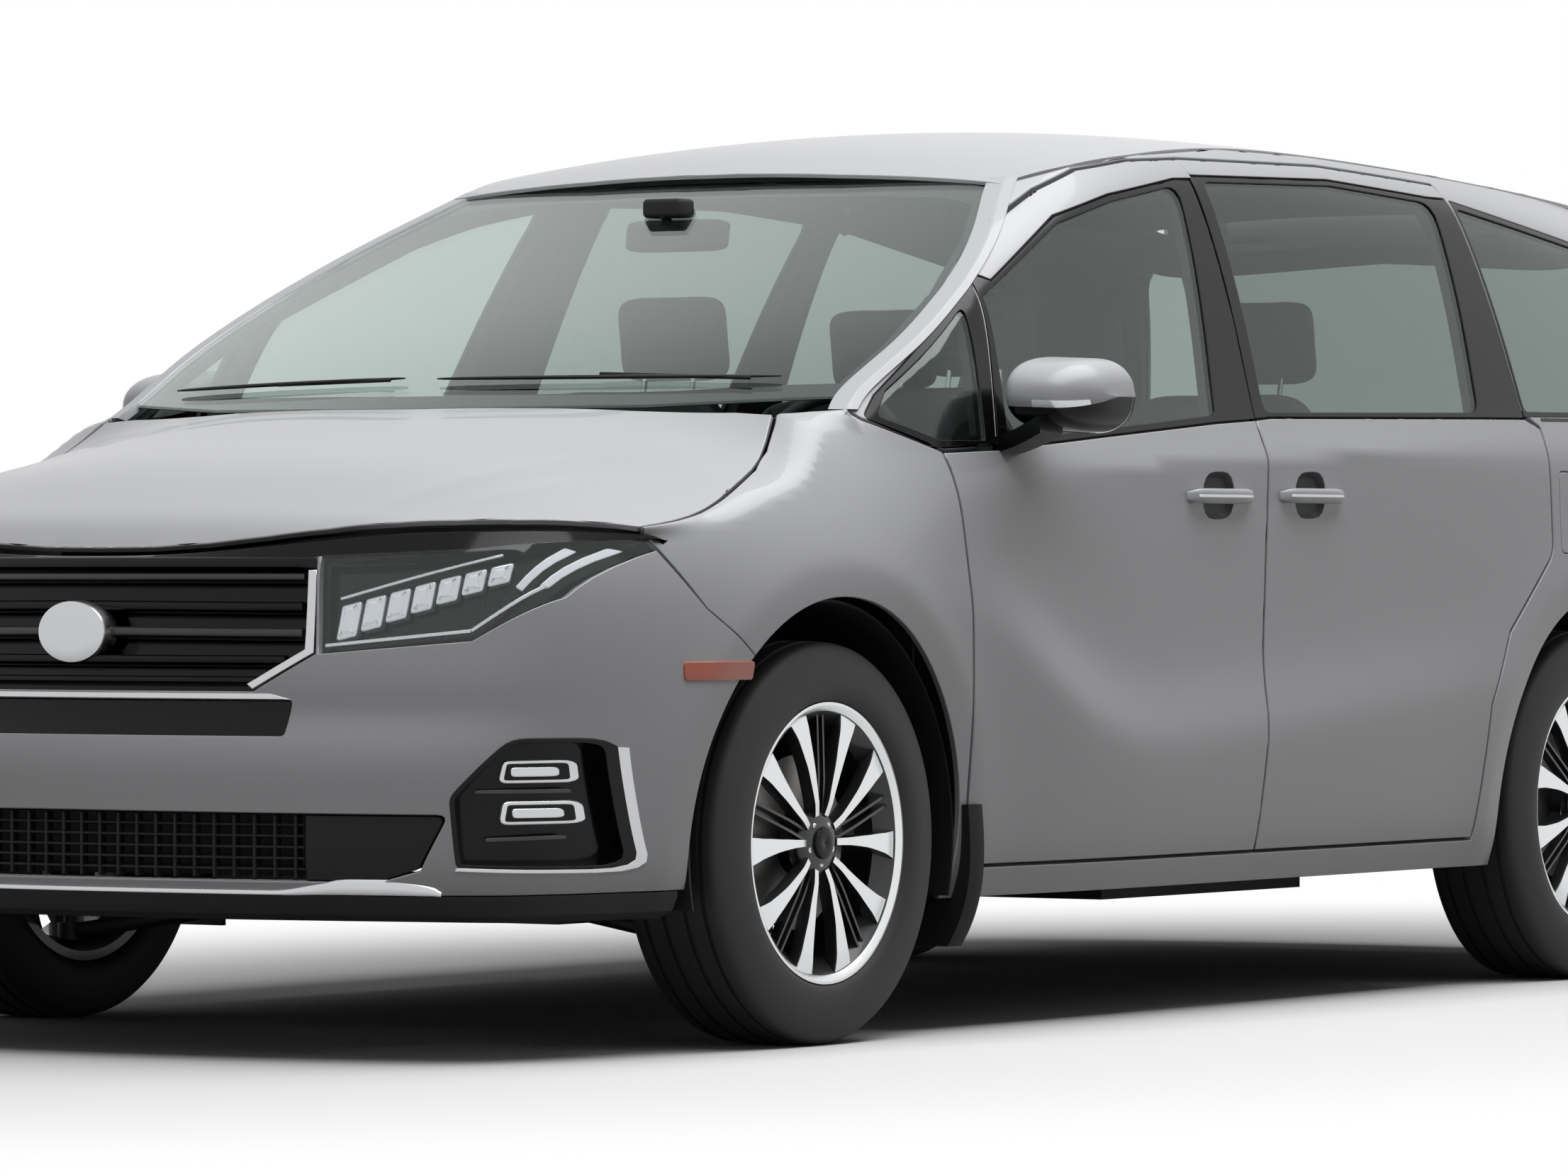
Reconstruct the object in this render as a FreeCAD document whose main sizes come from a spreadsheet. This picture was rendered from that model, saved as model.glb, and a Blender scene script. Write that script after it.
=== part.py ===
import FreeCAD, Part
import math
import os
import Sketcher
from FreeCAD import Placement, Rotation, Vector

# A seven-seat minivan, its front towards -Y and its left side at +X, standing on its tyres at Z = 0.
# Styling lines are given by their distance behind the front axle (y) and their height (z).

doc = FreeCAD.newDocument("minivan")

# Driving dimensions

SIZES = [
    ("wheelbase", 3000, "front axle to rear axle"),
    ("front_overhang", 1045, "bumper tip to front axle"),
    ("rear_overhang", 1167, "rear axle to bumper tip"),
    ("body_half_width", 992, "centre to widest point of the doors"),
    ("roof_height", 1775, "ground to the roof at its highest"),
    ("track", 1710, "between the wheel centre planes"),
    ("tyre_radius", 370, "235/55R19"),
    ("tyre_width", 235, "section width"),
    ("tread_width", 196, "flat of the tread"),
    ("rim_radius", 258, "outside of the rim flange"),
    ("rim_wall", 12, "rim barrel"),
    ("rim_width", 206, "across the flanges"),
    ("hub_radius", 74, "wheel hub at the bolts"),
    ("disc_radius", 160, "brake disc"),
    ("arch_radius", 450, "wheel opening"),
    ("door_wall", 84, "doors and quarters, skin to trim"),
    ("frame_wall", 40, "window frames, skin to trim"),
    ("skin_wall", 8, "fenders and bumper covers"),
    ("glass_wall", 5, "all panes"),
    ("shut_gap", 7, "between panels that shut"),
    ("seam", 0.6, "between panels that stay"),
    ("roof_wall", 30, "roof with its lining"),
    ("hood_wall", 24, "hood with its frame"),
    ("sill_top", 312, "lower edge of the doors"),
    ("sill_bottom", 252, "lower edge of the sills"),
    ("floor_height", 340, "cabin floor"),
    ("floor_wall", 40, "floor with its members"),
    ("seat_width", 520, "one front seat"),
    ("cushion", 130, "seat cushion"),
    ("wheel_rim_radius", 180, "steering wheel, to the middle of its rim"),
    ("pin_radius", 6, "hinge pins"),
    ("fit", 0.3, "running clearance"),
]

sheet = doc.addObject("Spreadsheet::Sheet", "sizes")
for row, (name, value, note) in enumerate(SIZES, 1):
    sheet.set("A%d" % row, name)
    sheet.set("B%d" % row, str(value))
    sheet.set("C%d" % row, note)
    sheet.setAlias("B%d" % row, name)
doc.recompute()


class Dim:
    """A length together with the sheet expression that gives it."""

    def __init__(self, value, text):
        self.value = float(value)
        self.text = text

    @staticmethod
    def of(other):
        return other if isinstance(other, Dim) else Dim(other, "(%.6f)" % other)

    def join(self, other, sign, value):
        return Dim(value, "(%s %s %s)" % (self.text, sign, other.text))

    def __add__(self, other):
        other = Dim.of(other)
        return self.join(other, "+", self.value + other.value)

    def __sub__(self, other):
        other = Dim.of(other)
        return self.join(other, "-", self.value - other.value)

    def __mul__(self, other):
        other = Dim.of(other)
        return self.join(other, "*", self.value * other.value)

    def __truediv__(self, other):
        other = Dim.of(other)
        return self.join(other, "/", self.value / other.value)

    def __radd__(self, other):
        return Dim.of(other) + self

    def __rsub__(self, other):
        return Dim.of(other) - self

    def __rmul__(self, other):
        return Dim.of(other) * self

    def __neg__(self):
        return Dim(-self.value, "(-1 * %s)" % self.text)


def dim(name):
    """A driving dimension by its alias."""
    return Dim(getattr(sheet, name), "sizes.%s" % name)


def size(name):
    """The plain number of a driving dimension."""
    return float(getattr(sheet, name))


def axle(rear):
    """Y of an axle, the origin being midway between the bumper tips."""
    middle = (dim("front_overhang") - dim("rear_overhang") - dim("wheelbase")) / 2
    return middle + dim("wheelbase") if rear else middle

WHEELBASE = size("wheelbase")
FRONT = axle(False).value
STYLED_WHEELBASE = 3000.0
WIDE = size("body_half_width")
HUB_Z = size("tyre_radius")
ARCH = size("arch_radius")
HALF_SHUT = size("shut_gap") / 2
HALF_SEAM = size("seam") / 2
PIN = size("pin_radius")
FIT = size("fit")


def along(y):
    """Y of a station, y being behind the front axle of the styled wheelbase."""
    if y <= 0:
        return FRONT + y
    if y >= STYLED_WHEELBASE:
        return FRONT + WHEELBASE + y - STYLED_WHEELBASE
    return FRONT + y * WHEELBASE / STYLED_WHEELBASE


def at(x, y, z):
    """A point by its styling station."""
    return Vector(x, along(y), z)

# Curves and surfaces


def curve(*points):
    """The natural cubic spline through the points, carried on straight past its ends."""
    xs = [p[0] for p in points]
    ys = [p[1] for p in points]
    n = len(xs)
    h = [xs[i + 1] - xs[i] for i in range(n - 1)]
    upper = [0.0] * n
    right = [0.0] * n
    for i in range(1, n - 1):
        slope = 6 * ((ys[i + 1] - ys[i]) / h[i] - (ys[i] - ys[i - 1]) / h[i - 1])
        pivot = 2 * (h[i - 1] + h[i]) - h[i - 1] * upper[i - 1]
        upper[i] = h[i] / pivot
        right[i] = (slope - h[i - 1] * right[i - 1]) / pivot
    bend = [0.0] * n
    for i in range(n - 2, 0, -1):
        bend[i] = right[i] - upper[i] * bend[i + 1]

    def value(t):
        i = 0
        while i < n - 2 and t > xs[i + 1]:
            i += 1
        inside = min(max(t, xs[0]), xs[-1])
        a = xs[i + 1] - inside
        c = inside - xs[i]
        v = (bend[i] * a ** 3 + bend[i + 1] * c ** 3) / 6 / h[i]
        v += (ys[i] / h[i] - bend[i] * h[i] / 6) * a
        v += (ys[i + 1] / h[i] - bend[i + 1] * h[i] / 6) * c
        if t < xs[0]:
            v += (t - xs[0]) * ((ys[1] - ys[0]) / h[0] - h[0] * bend[1] / 6)
        if t > xs[-1]:
            v += (t - xs[-1]) * ((ys[-1] - ys[-2]) / h[-1] + h[-1] * bend[-2] / 6)
        return v

    return value


def fold(t, r):
    """0 below, t above, rounded over r."""
    return (t + math.sqrt(t * t + r * r)) / 2

inset_of_side = curve(
    (-900, 87), (-450, 34), (0, 12), (450, 6), (1000, 2), (1600, 0), (2700, 0),
    (3100, 4), (3600, 20), (4000, 47), (4200, 67),
)
shoulder_z = curve(
    (-900, 880), (-450, 880), (0, 895), (250, 940), (450, 1030), (650, 1052),
    (959, 1066), (1600, 1090), (2181, 1107), (3000, 1110), (4100, 1095),
)
shoulder_slope = curve((-900, -0.60), (0, -0.55), (300, -0.48), (600, -0.43), (1500, -0.42), (4100, -0.36))
shoulder_round = curve((-900, 150), (0, 130), (300, 90), (600, 45), (3000, 45), (4100, 50))
belt_z = curve(
    (200, 1100), (389, 1088), (620, 1110), (1133, 1150), (1629, 1172),
    (2500, 1187), (2941, 1189), (3600, 1192), (4100, 1195),
)
wave_z = curve(
    (200, 830), (521, 768), (725, 659), (1014, 548), (1300, 545), (1600, 563), (2476, 632),
    (2900, 665),
)
wave_depth = curve(
    (150, 0), (420, 0.35), (725, 1), (1014, 1.1), (1600, 0.9), (2300, 0.6), (2650, 0.25), (2900, 0),
)
REFERENCE_Z = 900.0
SILL_FOLD = (315.0, 0.10, 40.0)
cant_z = curve(
    (60, 1150), (240, 1178), (310, 1213), (779, 1455), (1090, 1583), (1520, 1665),
    (1962, 1686), (2589, 1668), (3263, 1588), (3900, 1480),
)
cant_slope = curve((240, -1.8), (779, -2.2), (1050, -3.0), (1283, -2.1), (1700, -1.5), (3900, -1.5))
CANT_ROUND = 45.0


def side_x(y, z):
    """Half width of the body side at a station."""
    w = min(max(y, 200), 2900)
    depth = min(max(wave_depth(w), 0), 1.1)
    folds = [
        SILL_FOLD,
        (wave_z(w), 0.10 - 0.36 * depth, 40.0),
        (wave_z(w) + 120, 0.02, 60.0),
        (shoulder_z(y), shoulder_slope(y), shoulder_round(y)),
        (belt_z(y) + 5, -0.30, 30.0),
        (max(cant_z(y) - 240, belt_z(y) + 25), -0.33 - 0.0004 * max(cant_z(y) - 1400, 0), 150.0),
        (cant_z(y), cant_slope(y), CANT_ROUND),
    ]

    def profile(height):
        slope = 0.45
        x = slope * (height - SILL_FOLD[0])
        for line, after, r in folds:
            x += (after - slope) * fold(height - line, r)
            slope = after
        return x

    x = WIDE - inset_of_side(y) + profile(z) - profile(REFERENCE_Z)
    for wheel_y in (0.0, STYLED_WHEELBASE):
        r = math.hypot(y - wheel_y, z - HUB_Z)
        outside = fold(r - ARCH - 65, 20)
        x += 20 * math.exp(-outside / 110) - 0.10 * (outside - (r - ARCH - 65))
    return x

CORNER_FRONT = -905.0
CORNER_REAR = 4010.0
CORNER_ROUND = 150.0
NOSE_HALF = 985.0
NOSE_END = CORNER_FRONT - NOSE_HALF + CORNER_ROUND ** 2 / 4 / NOSE_HALF
TAIL_END = CORNER_REAR + NOSE_HALF - CORNER_ROUND ** 2 / 4 / NOSE_HALF


def plan(u):
    """Station and share of the half width at u, the station along the skin unrolled round both corners."""
    front = u - CORNER_FRONT
    rear = CORNER_REAR - u
    a = (front - math.hypot(front, CORNER_ROUND)) / 2
    b = (rear - math.hypot(rear, CORNER_ROUND)) / 2
    return u - a + b, (1 + a / NOSE_HALF) * (1 + b / NOSE_HALF), a, b

BOW_FRONT = size("front_overhang") + plan(NOSE_END)[0]
BOW_REAR = size("rear_overhang") + STYLED_WHEELBASE - plan(TAIL_END)[0]
nose_recess = curve(
    (200, 60), (235, 40), (300, 6), (330, 0), (450, 0), (560, 10), (620, 28),
    (650, 30), (760, 50), (850, 68), (903, 85), (960, 140), (1200, 400),
)
tail_recess = curve(
    (200, 60), (260, 20), (330, 2), (450, 0), (600, 2), (680, 30), (760, 52), (1000, 70),
    (1130, 95), (1200, 125), (1400, 215), (1600, 320), (1700, 380),
)


def body_point(u, z):
    """A point of the body at height z, bowed and leaning back over its nose and tail."""
    y, across, a, b = plan(u)
    x = side_x(min(max(y, CORNER_FRONT), CORNER_REAR), z) * across
    if u < STYLED_WHEELBASE / 2:
        y += (1 - math.exp(a / 90)) * nose_recess(z) - BOW_FRONT * (1 - across ** 2)
    else:
        y -= (1 - math.exp(b / 90)) * tail_recess(z) - BOW_REAR * (1 - across ** 2)
    return at(x, y, z)

roof_line = curve(
    (1045, -118), (1200, -76), (1500, -26), (1850, 0), (2200, 0), (2800, -23), (3400, -56), (3950, -96),
)


def roof_z(x, y):
    """Height of the roof, lower towards its sides."""
    return size("roof_height") + roof_line(y) - 1.0e-4 * x * x


def roof_point(x, y):
    """A point of the roof."""
    return at(x, y, roof_z(x, y))

screen_line = curve((1150, -60), (1274, 190), (1450, 595), (1640, 1045))


def screen_y(x, z):
    """Station of the windshield, further back towards its sides."""
    bow = 2.9e-4 - (z - 1274) / 339 * 1.0e-4
    return screen_line(z) + bow * x * x


def screen_point(x, z):
    """A point of the windshield."""
    return at(x, screen_y(x, z), z)


def screen_edge(z):
    """Half width and station at which the windshield meets the body side."""
    x = 750.0
    for _ in range(30):
        x = (x + side_x(screen_y(x, z), z)) / 2
    return x, screen_y(x, z)


def roof_edge(y):
    """Half width and height at which the roof meets the body side."""
    x = 680.0
    for _ in range(30):
        x = (x + side_x(y, roof_z(x, y))) / 2
    return x, roof_z(x, y)

hood_line = curve(
    (-950, 895), (-935, 905), (-900, 935), (-800, 985), (-600, 1050), (-300, 1115), (-50, 1165), (100, 1190),
)
hood_side_x = curve((-950, 900), (-560, 925), (-140, 868), (0, 820), (100, 775))
hood_side_z = curve((-950, 918), (-560, 946), (-300, 985), (-160, 1030), (0, 1090), (100, 1165))


def hood_point(x, y):
    """The hood, crowned across by the cube of the distance from the centre."""
    part = abs(x) / hood_side_x(y)
    middle = hood_line(y)
    return at(x, y, middle - (middle - hood_side_z(y)) * part ** 3)


def steps(start, stop, count):
    """Evenly spaced values, both ends included."""
    return [start + (stop - start) * i / (count - 1) for i in range(count)]


def inset(lines, depth):
    """The lines moved inwards, square to the surface that they describe."""
    moved = []
    for i, line in enumerate(lines):
        under = lines[max(i - 1, 0)]
        over = lines[min(i + 1, len(lines) - 1)]
        new = []
        for j, p in enumerate(line):
            onward = line[min(j + 1, len(line) - 1)] - line[max(j - 1, 0)]
            upward = over[j] - under[j]
            new.append(p - onward.cross(upward).normalize() * depth)
        moved.append(new)
    return moved


def narrowed(lines, depth):
    """The lines moved straight towards the centre plane, each by its own depth."""
    return [[p - Vector(d, 0, 0) for p in line] for line, d in zip(lines, depth)]


def levelled(lines, first, last):
    """The lines with their ends brought into flat planes, each given as (axis, value)."""
    for line in lines:
        for j, (axis, value) in ((0, first), (-1, last)):
            p = line[j]
            line[j] = Vector(value, p.y, p.z) if axis == "x" else Vector(p.x, value, p.z)
    return lines


def strips(lines):
    """Ruled faces between smooth lines."""
    edges = []
    for line in lines:
        smooth = Part.BSplineCurve()
        smooth.interpolate(line)
        edges.append(smooth.toShape())
    return [Part.makeRuledSurface(a, b) for a, b in zip(edges, edges[1:])]


def wall(outer, inner, flat_ends=True):
    """The solid between two sets of lines; ends that aren't flat are closed from line to line."""
    faces = strips(outer) + strips(inner)
    faces += strips([outer[0], inner[0]]) + strips([outer[-1], inner[-1]])
    for end in (0, -1):
        if flat_ends:
            ring = [line[end] for line in outer] + [line[end] for line in reversed(inner)]
            faces.append(Part.Face(Part.makePolygon(ring + [ring[0]])))
            continue
        for i in range(len(outer) - 1):
            outside = Part.LineSegment(outer[i][end], outer[i + 1][end]).toShape()
            inside = Part.LineSegment(inner[i][end], inner[i + 1][end]).toShape()
            faces.append(Part.makeRuledSurface(outside, inside))
    shell = Part.makeShell(faces)
    shell.sewShape()
    solid = Part.makeSolid(shell)
    if solid.Volume < 0:
        solid.reverse()
    return solid

# Outlines


def rounded(points):
    """Corners of an outline; a corner (a, b, radius) becomes four points on its arc."""
    corners = []
    for i, corner in enumerate(points):
        here = Vector(corner[0], corner[1], 0)
        if len(corner) == 2:
            corners.append(here)
            continue
        back = (Vector(*points[i - 1][:2], 0) - here).normalize()
        ahead = (Vector(*points[(i + 1) % len(points)][:2], 0) - here).normalize()
        turn = math.pi - back.getAngle(ahead)
        middle = here + (back + ahead).normalize() * (corner[2] / math.cos(turn / 2))
        spoke = here + back * corner[2] * math.tan(turn / 2) - middle
        sweep = math.copysign(math.degrees(turn), spoke.cross(here - middle).z)
        for k in range(4):
            corners.append(middle + Rotation(Vector(0, 0, 1), sweep * k / 3).multVec(spoke))
    return corners


def grown(corners, by):
    """The outline moved outwards by a distance, inwards if that is negative."""
    count = len(corners)
    area = sum(corners[i - 1].cross(corners[i]).z for i in range(count))
    moved = []
    for i, here in enumerate(corners):
        back = (here - corners[i - 1]).normalize()
        ahead = (corners[(i + 1) % count] - here).normalize()
        out = Vector(back.y + ahead.y, -back.x - ahead.x, 0) * math.copysign(1, area)
        moved.append(here + out * (by / (1 + back.dot(ahead))))
    return moved


def outline(points, place, grow=0.0):
    """A flat face with rounded corners, set in space by place."""
    corners = rounded(points)
    if grow:
        corners = grown(corners, grow)
    face = Part.Face(Part.makePolygon(corners + [corners[0]]))
    face.Placement = place
    return face


def from_side(points, x0=300.0, x1=1300.0, grow=0.0):
    """A prism along X with its outline in stations and heights."""
    flat = [(along(p[0]),) + tuple(p[1:]) for p in points]
    place = Placement(Vector(x0, 0, 0), Rotation(Vector(1, 1, 1), 120))
    return outline(flat, place, grow).extrude(Vector(x1 - x0, 0, 0))


def from_front(points, y0, y1, grow=0.0):
    """A prism along Y with its outline in X and Z."""
    place = Placement(Vector(0, along(y1), 0), Rotation(Vector(1, 0, 0), 90))
    return outline(points, place, grow).extrude(Vector(0, along(y0) - along(y1), 0))


def from_above(points, z0, z1, grow=0.0):
    """A prism along Z with its outline in X and stations."""
    flat = [(p[0], along(p[1])) + tuple(p[2:]) for p in points]
    place = Placement(Vector(0, 0, z0), Rotation())
    return outline(flat, place, grow).extrude(Vector(0, 0, z1 - z0))


def arch_hole(y, radius):
    """The round opening over a wheel, cut through from outside."""
    low = at(560, y, HUB_Z)
    return Part.makeCylinder(radius, 700, low, Vector(1, 0, 0))


def mirrored(shape):
    """The right-hand copy of a left-hand shape."""
    return shape.mirror(Vector(0, 0, 0), Vector(1, 0, 0))


def both(shape):
    """A left-hand shape with its right-hand copy, as separate solids."""
    return Part.makeCompound(shape.Solids + mirrored(shape).Solids)


def joined(*shapes):
    """Solids fused into one."""
    whole = shapes[0].multiFuse(list(shapes[1:]))
    return whole.removeSplitter()

CRUMB = 50000.0


def piece(name, shape):
    """A sub-part with a free-form shape, without the crumbs that grazing cuts leave."""
    item = doc.addObject("Part::Feature", name)
    item.Label = name
    solids = [s for s in shape.Solids if s.Volume > CRUMB]
    item.Shape = solids[0] if len(solids) == 1 else Part.makeCompound(solids)
    parts.append(item)
    return item

parts = []

# Walls of the left side, later cut to panels. Their faces run between the lines that shape the body.

LEVELS = [
    curve((-900, 228), (4100, 228)),
    curve((-900, 305), (4100, 305)),
    curve(
        (-900, 430), (0, 430), (450, 520), (725, 600), (1014, 500), (1600, 510), (2476, 570),
        (3000, 540), (4100, 480),
    ),
    curve(
        (-900, 560), (0, 640), (450, 745), (725, 672), (1014, 560), (1600, 575), (2476, 645),
        (3000, 680), (4100, 600),
    ),
    curve(
        (-900, 700), (0, 760), (450, 830), (725, 780), (1014, 680), (1600, 690), (2476, 750),
        (3000, 790), (4100, 740),
    ),
    curve((-900, 820), (0, 850), (450, 925), (1014, 900), (2476, 920), (4100, 900)),
    lambda y: shoulder_z(y) - 20,
    lambda y: shoulder_z(y) + 25,
    lambda y: max(belt_z(y) + 5, shoulder_z(y) + 40),
    lambda y: belt_z(y) + 0.33 * (cant_z(y) - belt_z(y)) + 4,
    lambda y: belt_z(y) + 0.66 * (cant_z(y) - belt_z(y)),
    lambda y: cant_z(y) - 10,
    lambda y: cant_z(y) + 22,
    lambda y: cant_z(y) + 110,
]
BELT_LEVEL = 8


def body_lines(stations, levels):
    """Lines along the body, one for each level."""
    return [[body_point(u, level(u)) for u in stations] for level in levels]


def body_wall(stations, levels, depth, first, last, kept=None):
    """A stretch of the body with its thickness; kept names the levels that its inside follows."""
    lines = body_lines(stations, levels)
    inner = narrowed(lines, depth) if isinstance(depth, list) else inset(lines, depth)
    if kept:
        inner = [inner[i] for i in kept]
    return wall(levelled(lines, first, last), levelled(inner, first, last))


def level_depths(below, above):
    """The wall at each level, full up to the belt."""
    return [below if i <= BELT_LEVEL else above for i in range(len(LEVELS))]

SIDE = steps(70, 3440, 22)
SIDE_ENDS = (("y", along(70)), ("y", along(3440)))
side_wall = body_wall(
    SIDE, LEVELS, level_depths(size("door_wall"), size("frame_wall")), *SIDE_ENDS, kept=[0, 4, 8, 9, 11, 12, 13])
POST_GAP = 36.0
post_depths = level_depths(size("door_wall") + POST_GAP, size("frame_wall") + POST_GAP)
post_depths[9:] = [post_depths[8], 86, 102, 124, 150]
post_outer = narrowed(body_lines(steps(1300, 1900, 6), LEVELS), post_depths)
post_inner = narrowed(post_outer, [36] * len(LEVELS))
post_ends = (("y", along(1300)), ("y", along(1900)))
post_wall = wall(levelled(post_outer[::2], *post_ends), levelled(post_inner[::2], *post_ends))
FENDER_LEVELS = LEVELS[:8] + [
    curve((-900, 930), (-300, 960), (0, 1040), (250, 1110), (640, 1150)),
    curve((-900, 980), (-300, 1020), (0, 1120), (250, 1200), (640, 1230)),
]
thin_side = body_wall(
    steps(-850, 640, 14), FENDER_LEVELS, size("skin_wall"), ("y", along(-860)), ("y", along(640)))
nose_u = [NOSE_END] + steps(NOSE_END + 240, CORNER_FRONT - 250, 3)
nose_u += steps(CORNER_FRONT - 160, CORNER_FRONT + 160, 6) + steps(CORNER_FRONT + 270, -200, 4)
tail_u = steps(3330, CORNER_REAR - 200, 5) + steps(CORNER_REAR - 110, CORNER_REAR + 190, 6)
tail_u += steps(CORNER_REAR + 290, TAIL_END - 240, 3) + [TAIL_END]


def flipped(points):
    """The right-hand copy of points."""
    return [Vector(-p.x, p.y, p.z) for p in points]


def end_wall(stations, levels, depth, end_y, kept=None):
    """The wall round the whole nose or tail; stations run from the left side to the centre plane."""
    lines = []
    for line in body_lines(stations, levels):
        line[-1].x = 0
        lines.append(line + flipped(line[-2::-1]))
    inner = inset(lines, depth)
    if kept:
        inner = [inner[i] for i in kept]
    ends = (("y", along(end_y)), ("y", along(end_y)))
    return wall(levelled(lines, *ends), levelled(inner, *ends))


def flat_levels(heights):
    """Level lines at the same height all along."""
    return [curve((-900, z), (4200, z)) for z in heights]

NOSE_LEVELS = flat_levels((226, 262, 306, 345, 450, 560, 650, 770, 880, 975))
thin_nose = end_wall(nose_u[::-1], NOSE_LEVELS, -size("skin_wall"), -200)
lamp_nose = end_wall(nose_u[::-1], NOSE_LEVELS, -60.0, -200, kept=[0, 4, 6, 9])
TAIL_LEVELS = flat_levels((226, 262, 330, 450, 600, 680, 780))
thin_tail = end_wall(tail_u, TAIL_LEVELS, size("skin_wall"), 3330)
gate_levels = flat_levels((560, 660, 780, 900)) + LEVELS[6:9] + [
    curve((3300, 1325), (3600, 1300), (4000, 1300), (5000, 1300)),
    curve((3300, 1450), (3600, 1420), (4100, 1400), (5000, 1400)),
    curve((3300, 1573), (3600, 1530), (4100, 1490), (5000, 1490)),
    curve((3300, 1605), (3600, 1575), (4100, 1560), (5000, 1560)),
    curve((3300, 1679), (3430, 1673), (3600, 1664), (3750, 1656), (4000, 1646), (5000, 1640)),
]
gate_tail = end_wall(tail_u, gate_levels, 55.0, 3330, kept=[0, 2, 4, 6, 8, 9, 10, 11])


def symmetric(points):
    """An outline drawn for the left half, from the centre plane to the centre plane, made whole."""
    right = [(-p[0],) + tuple(p[1:]) for p in reversed(points) if p[0] > 0]
    return list(points) + right

# Outlines of the panels on the side, by station and height

front_door_line = [
    (473, size("sill_top")), (450, 808), (424, 1060), (417, 1092, 12), (596, 1106), (724, 1440, 25),
    (952, 1549), (1130, 1614), (1283, 1659), (1460, 1684), (1650, 1695), (1570, 1186), (1553, 805),
    (1520, size("sill_top")),
]
sliding_door_line = [
    (1520, size("sill_top")), (1553, 805), (1570, 1186), (1650, 1695), (2200, 1702), (2690, 1682),
    (2693, 1614), (2690, 1196, 20), (2750, 1168, 10), (2754, 905, 60), (2560, 740), (2478, 590),
    (2440, size("sill_top")),
]
front_window_line = [
    (640, 1116, 10), (1418, 1175, 20), (1572, 1640, 30), (1300, 1597), (1090, 1548), (716, 1392, 12),
]
sliding_window_line = [
    (1612, 1184, 20), (2500, 1197, 40), (2610, 1640, 40), (2200, 1662), (1680, 1650, 25),
]
quarter_window_line = [
    (2706, 1202, 15), (3760, 1212, 60), (3700, 1440, 120), (3263, 1556), (2712, 1634, 20),
]
small_window_line = [(280, 1156, 8), (420, 1113, 10), (560, 1114, 8), (640, 1372, 10), (330, 1205, 60)]

door_opening = from_side(front_door_line[:10] + sliding_door_line[3:], grow=HALF_SHUT)


def door(line, window_line):
    """A door: a full wall below the belt, a frame round its window above."""
    return side_wall.common(from_side(line, grow=-HALF_SHUT)).cut(from_side(window_line))

pane_lines = inset(body_lines(steps(180, 3900, 22), LEVELS[8:13]), 9.0)
pane_inner = inset(pane_lines, size("glass_wall"))
PANE_ENDS = (("y", along(180)), ("y", along(3900)))
pane_sheet = wall(levelled(pane_lines, *PANE_ENDS), levelled(pane_inner, *PANE_ENDS))


def pane(window_line):
    """The glass of a side window, set into its frame."""
    return pane_sheet.common(from_side(window_line, grow=-FIT))

front_door = door(front_door_line, front_window_line)
DOOR_AXIS_Y = 512.0
DOOR_AXIS_X = max(side_x(465, z) for z in range(320, 1060, 20)) - 14
DOOR_HINGES = (480, 860)
POST_X = 836.0
for z in DOOR_HINGES:
    low_corner = at(POST_X - 6, DOOR_AXIS_Y - 120, z - 30)
    front_door = front_door.cut(Part.makeBox(DOOR_AXIS_X - POST_X + 18, 132, 60, low_corner))
    front_door = front_door.cut(Part.makeCylinder(PIN + FIT, 110, at(DOOR_AXIS_X, DOOR_AXIS_Y, z - 55)))
sliding_door = door(sliding_door_line, sliding_window_line)
piece("front_door_left", front_door)
piece("front_door_right", mirrored(front_door))
piece("sliding_door_left", sliding_door)
piece("sliding_door_right", mirrored(sliding_door))
front_pane = pane(front_window_line)
piece("front_door_glass_left", front_pane)
piece("front_door_glass_right", mirrored(front_pane))
side_panes = [pane(sliding_window_line), pane(small_window_line)]


# Fenders, body sides and roof

SILL = size("sill_bottom")
fender_line = [
    (-545, 940), (-300, 979), (-160, 1024), (0, 1084), (105, 1160), (236, 1148), (400, 1096),
    (417, 1090), (424, 1060), (450, 808), (473, 330), (473, SILL), (380, SILL), (0, 500),
    (-289, 715), (-420, 800),
]
fender = thin_side.common(from_side(fender_line)).cut(arch_hole(0, ARCH))
fender = fender.cut(door_opening)
piece("fenders", both(fender))

screen_side = [screen_edge(z) for z in (1200, 1274, 1400, 1520, 1610)]
screen_side_line = [(y, z) for (x, y), z in zip(screen_side, (1200, 1274, 1400, 1520, 1610))]
ROOF_STATIONS = (1090, 1283, 1500, 1850, 2200, 2700, 3200, 3426.7)
roof_side_line = [(y, roof_edge(y)[1] - size("skin_wall") - 6) for y in ROOF_STATIONS]
body_side_line = [(482, SILL), (3426.7, SILL)] + roof_side_line[::-1] + screen_side_line[::-1]
body_side_line += [(108, 1164), (236, 1151), (402, 1098), (520, 1088), (520, 300)]
post = post_wall.common(from_side([
    (1480, SILL + 10), (1600, SILL + 10), (1640, 1150), (1692, 1630), (1570, 1630), (1510, 1150),
]))
side_body = side_wall.common(from_side(body_side_line)).cut(door_opening)
side_body = side_body.cut(from_side(quarter_window_line)).cut(from_side(small_window_line))
side_body = side_body.cut(arch_hole(STYLED_WHEELBASE, ARCH))
bumper_cut_line = [(3321.7, 100), (3321.7, 648.3), (3500, 648.3), (3500, 100)]
side_body = side_body.cut(from_side(bumper_cut_line))
hinge_post = Part.makeBox(
    POST_X - 820 - FIT, 100, 630, at(820 + FIT, DOOR_AXIS_Y - 40, size("floor_height") + FIT),
)
side_body = side_body.fuse(hinge_post).fuse(post)
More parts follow.
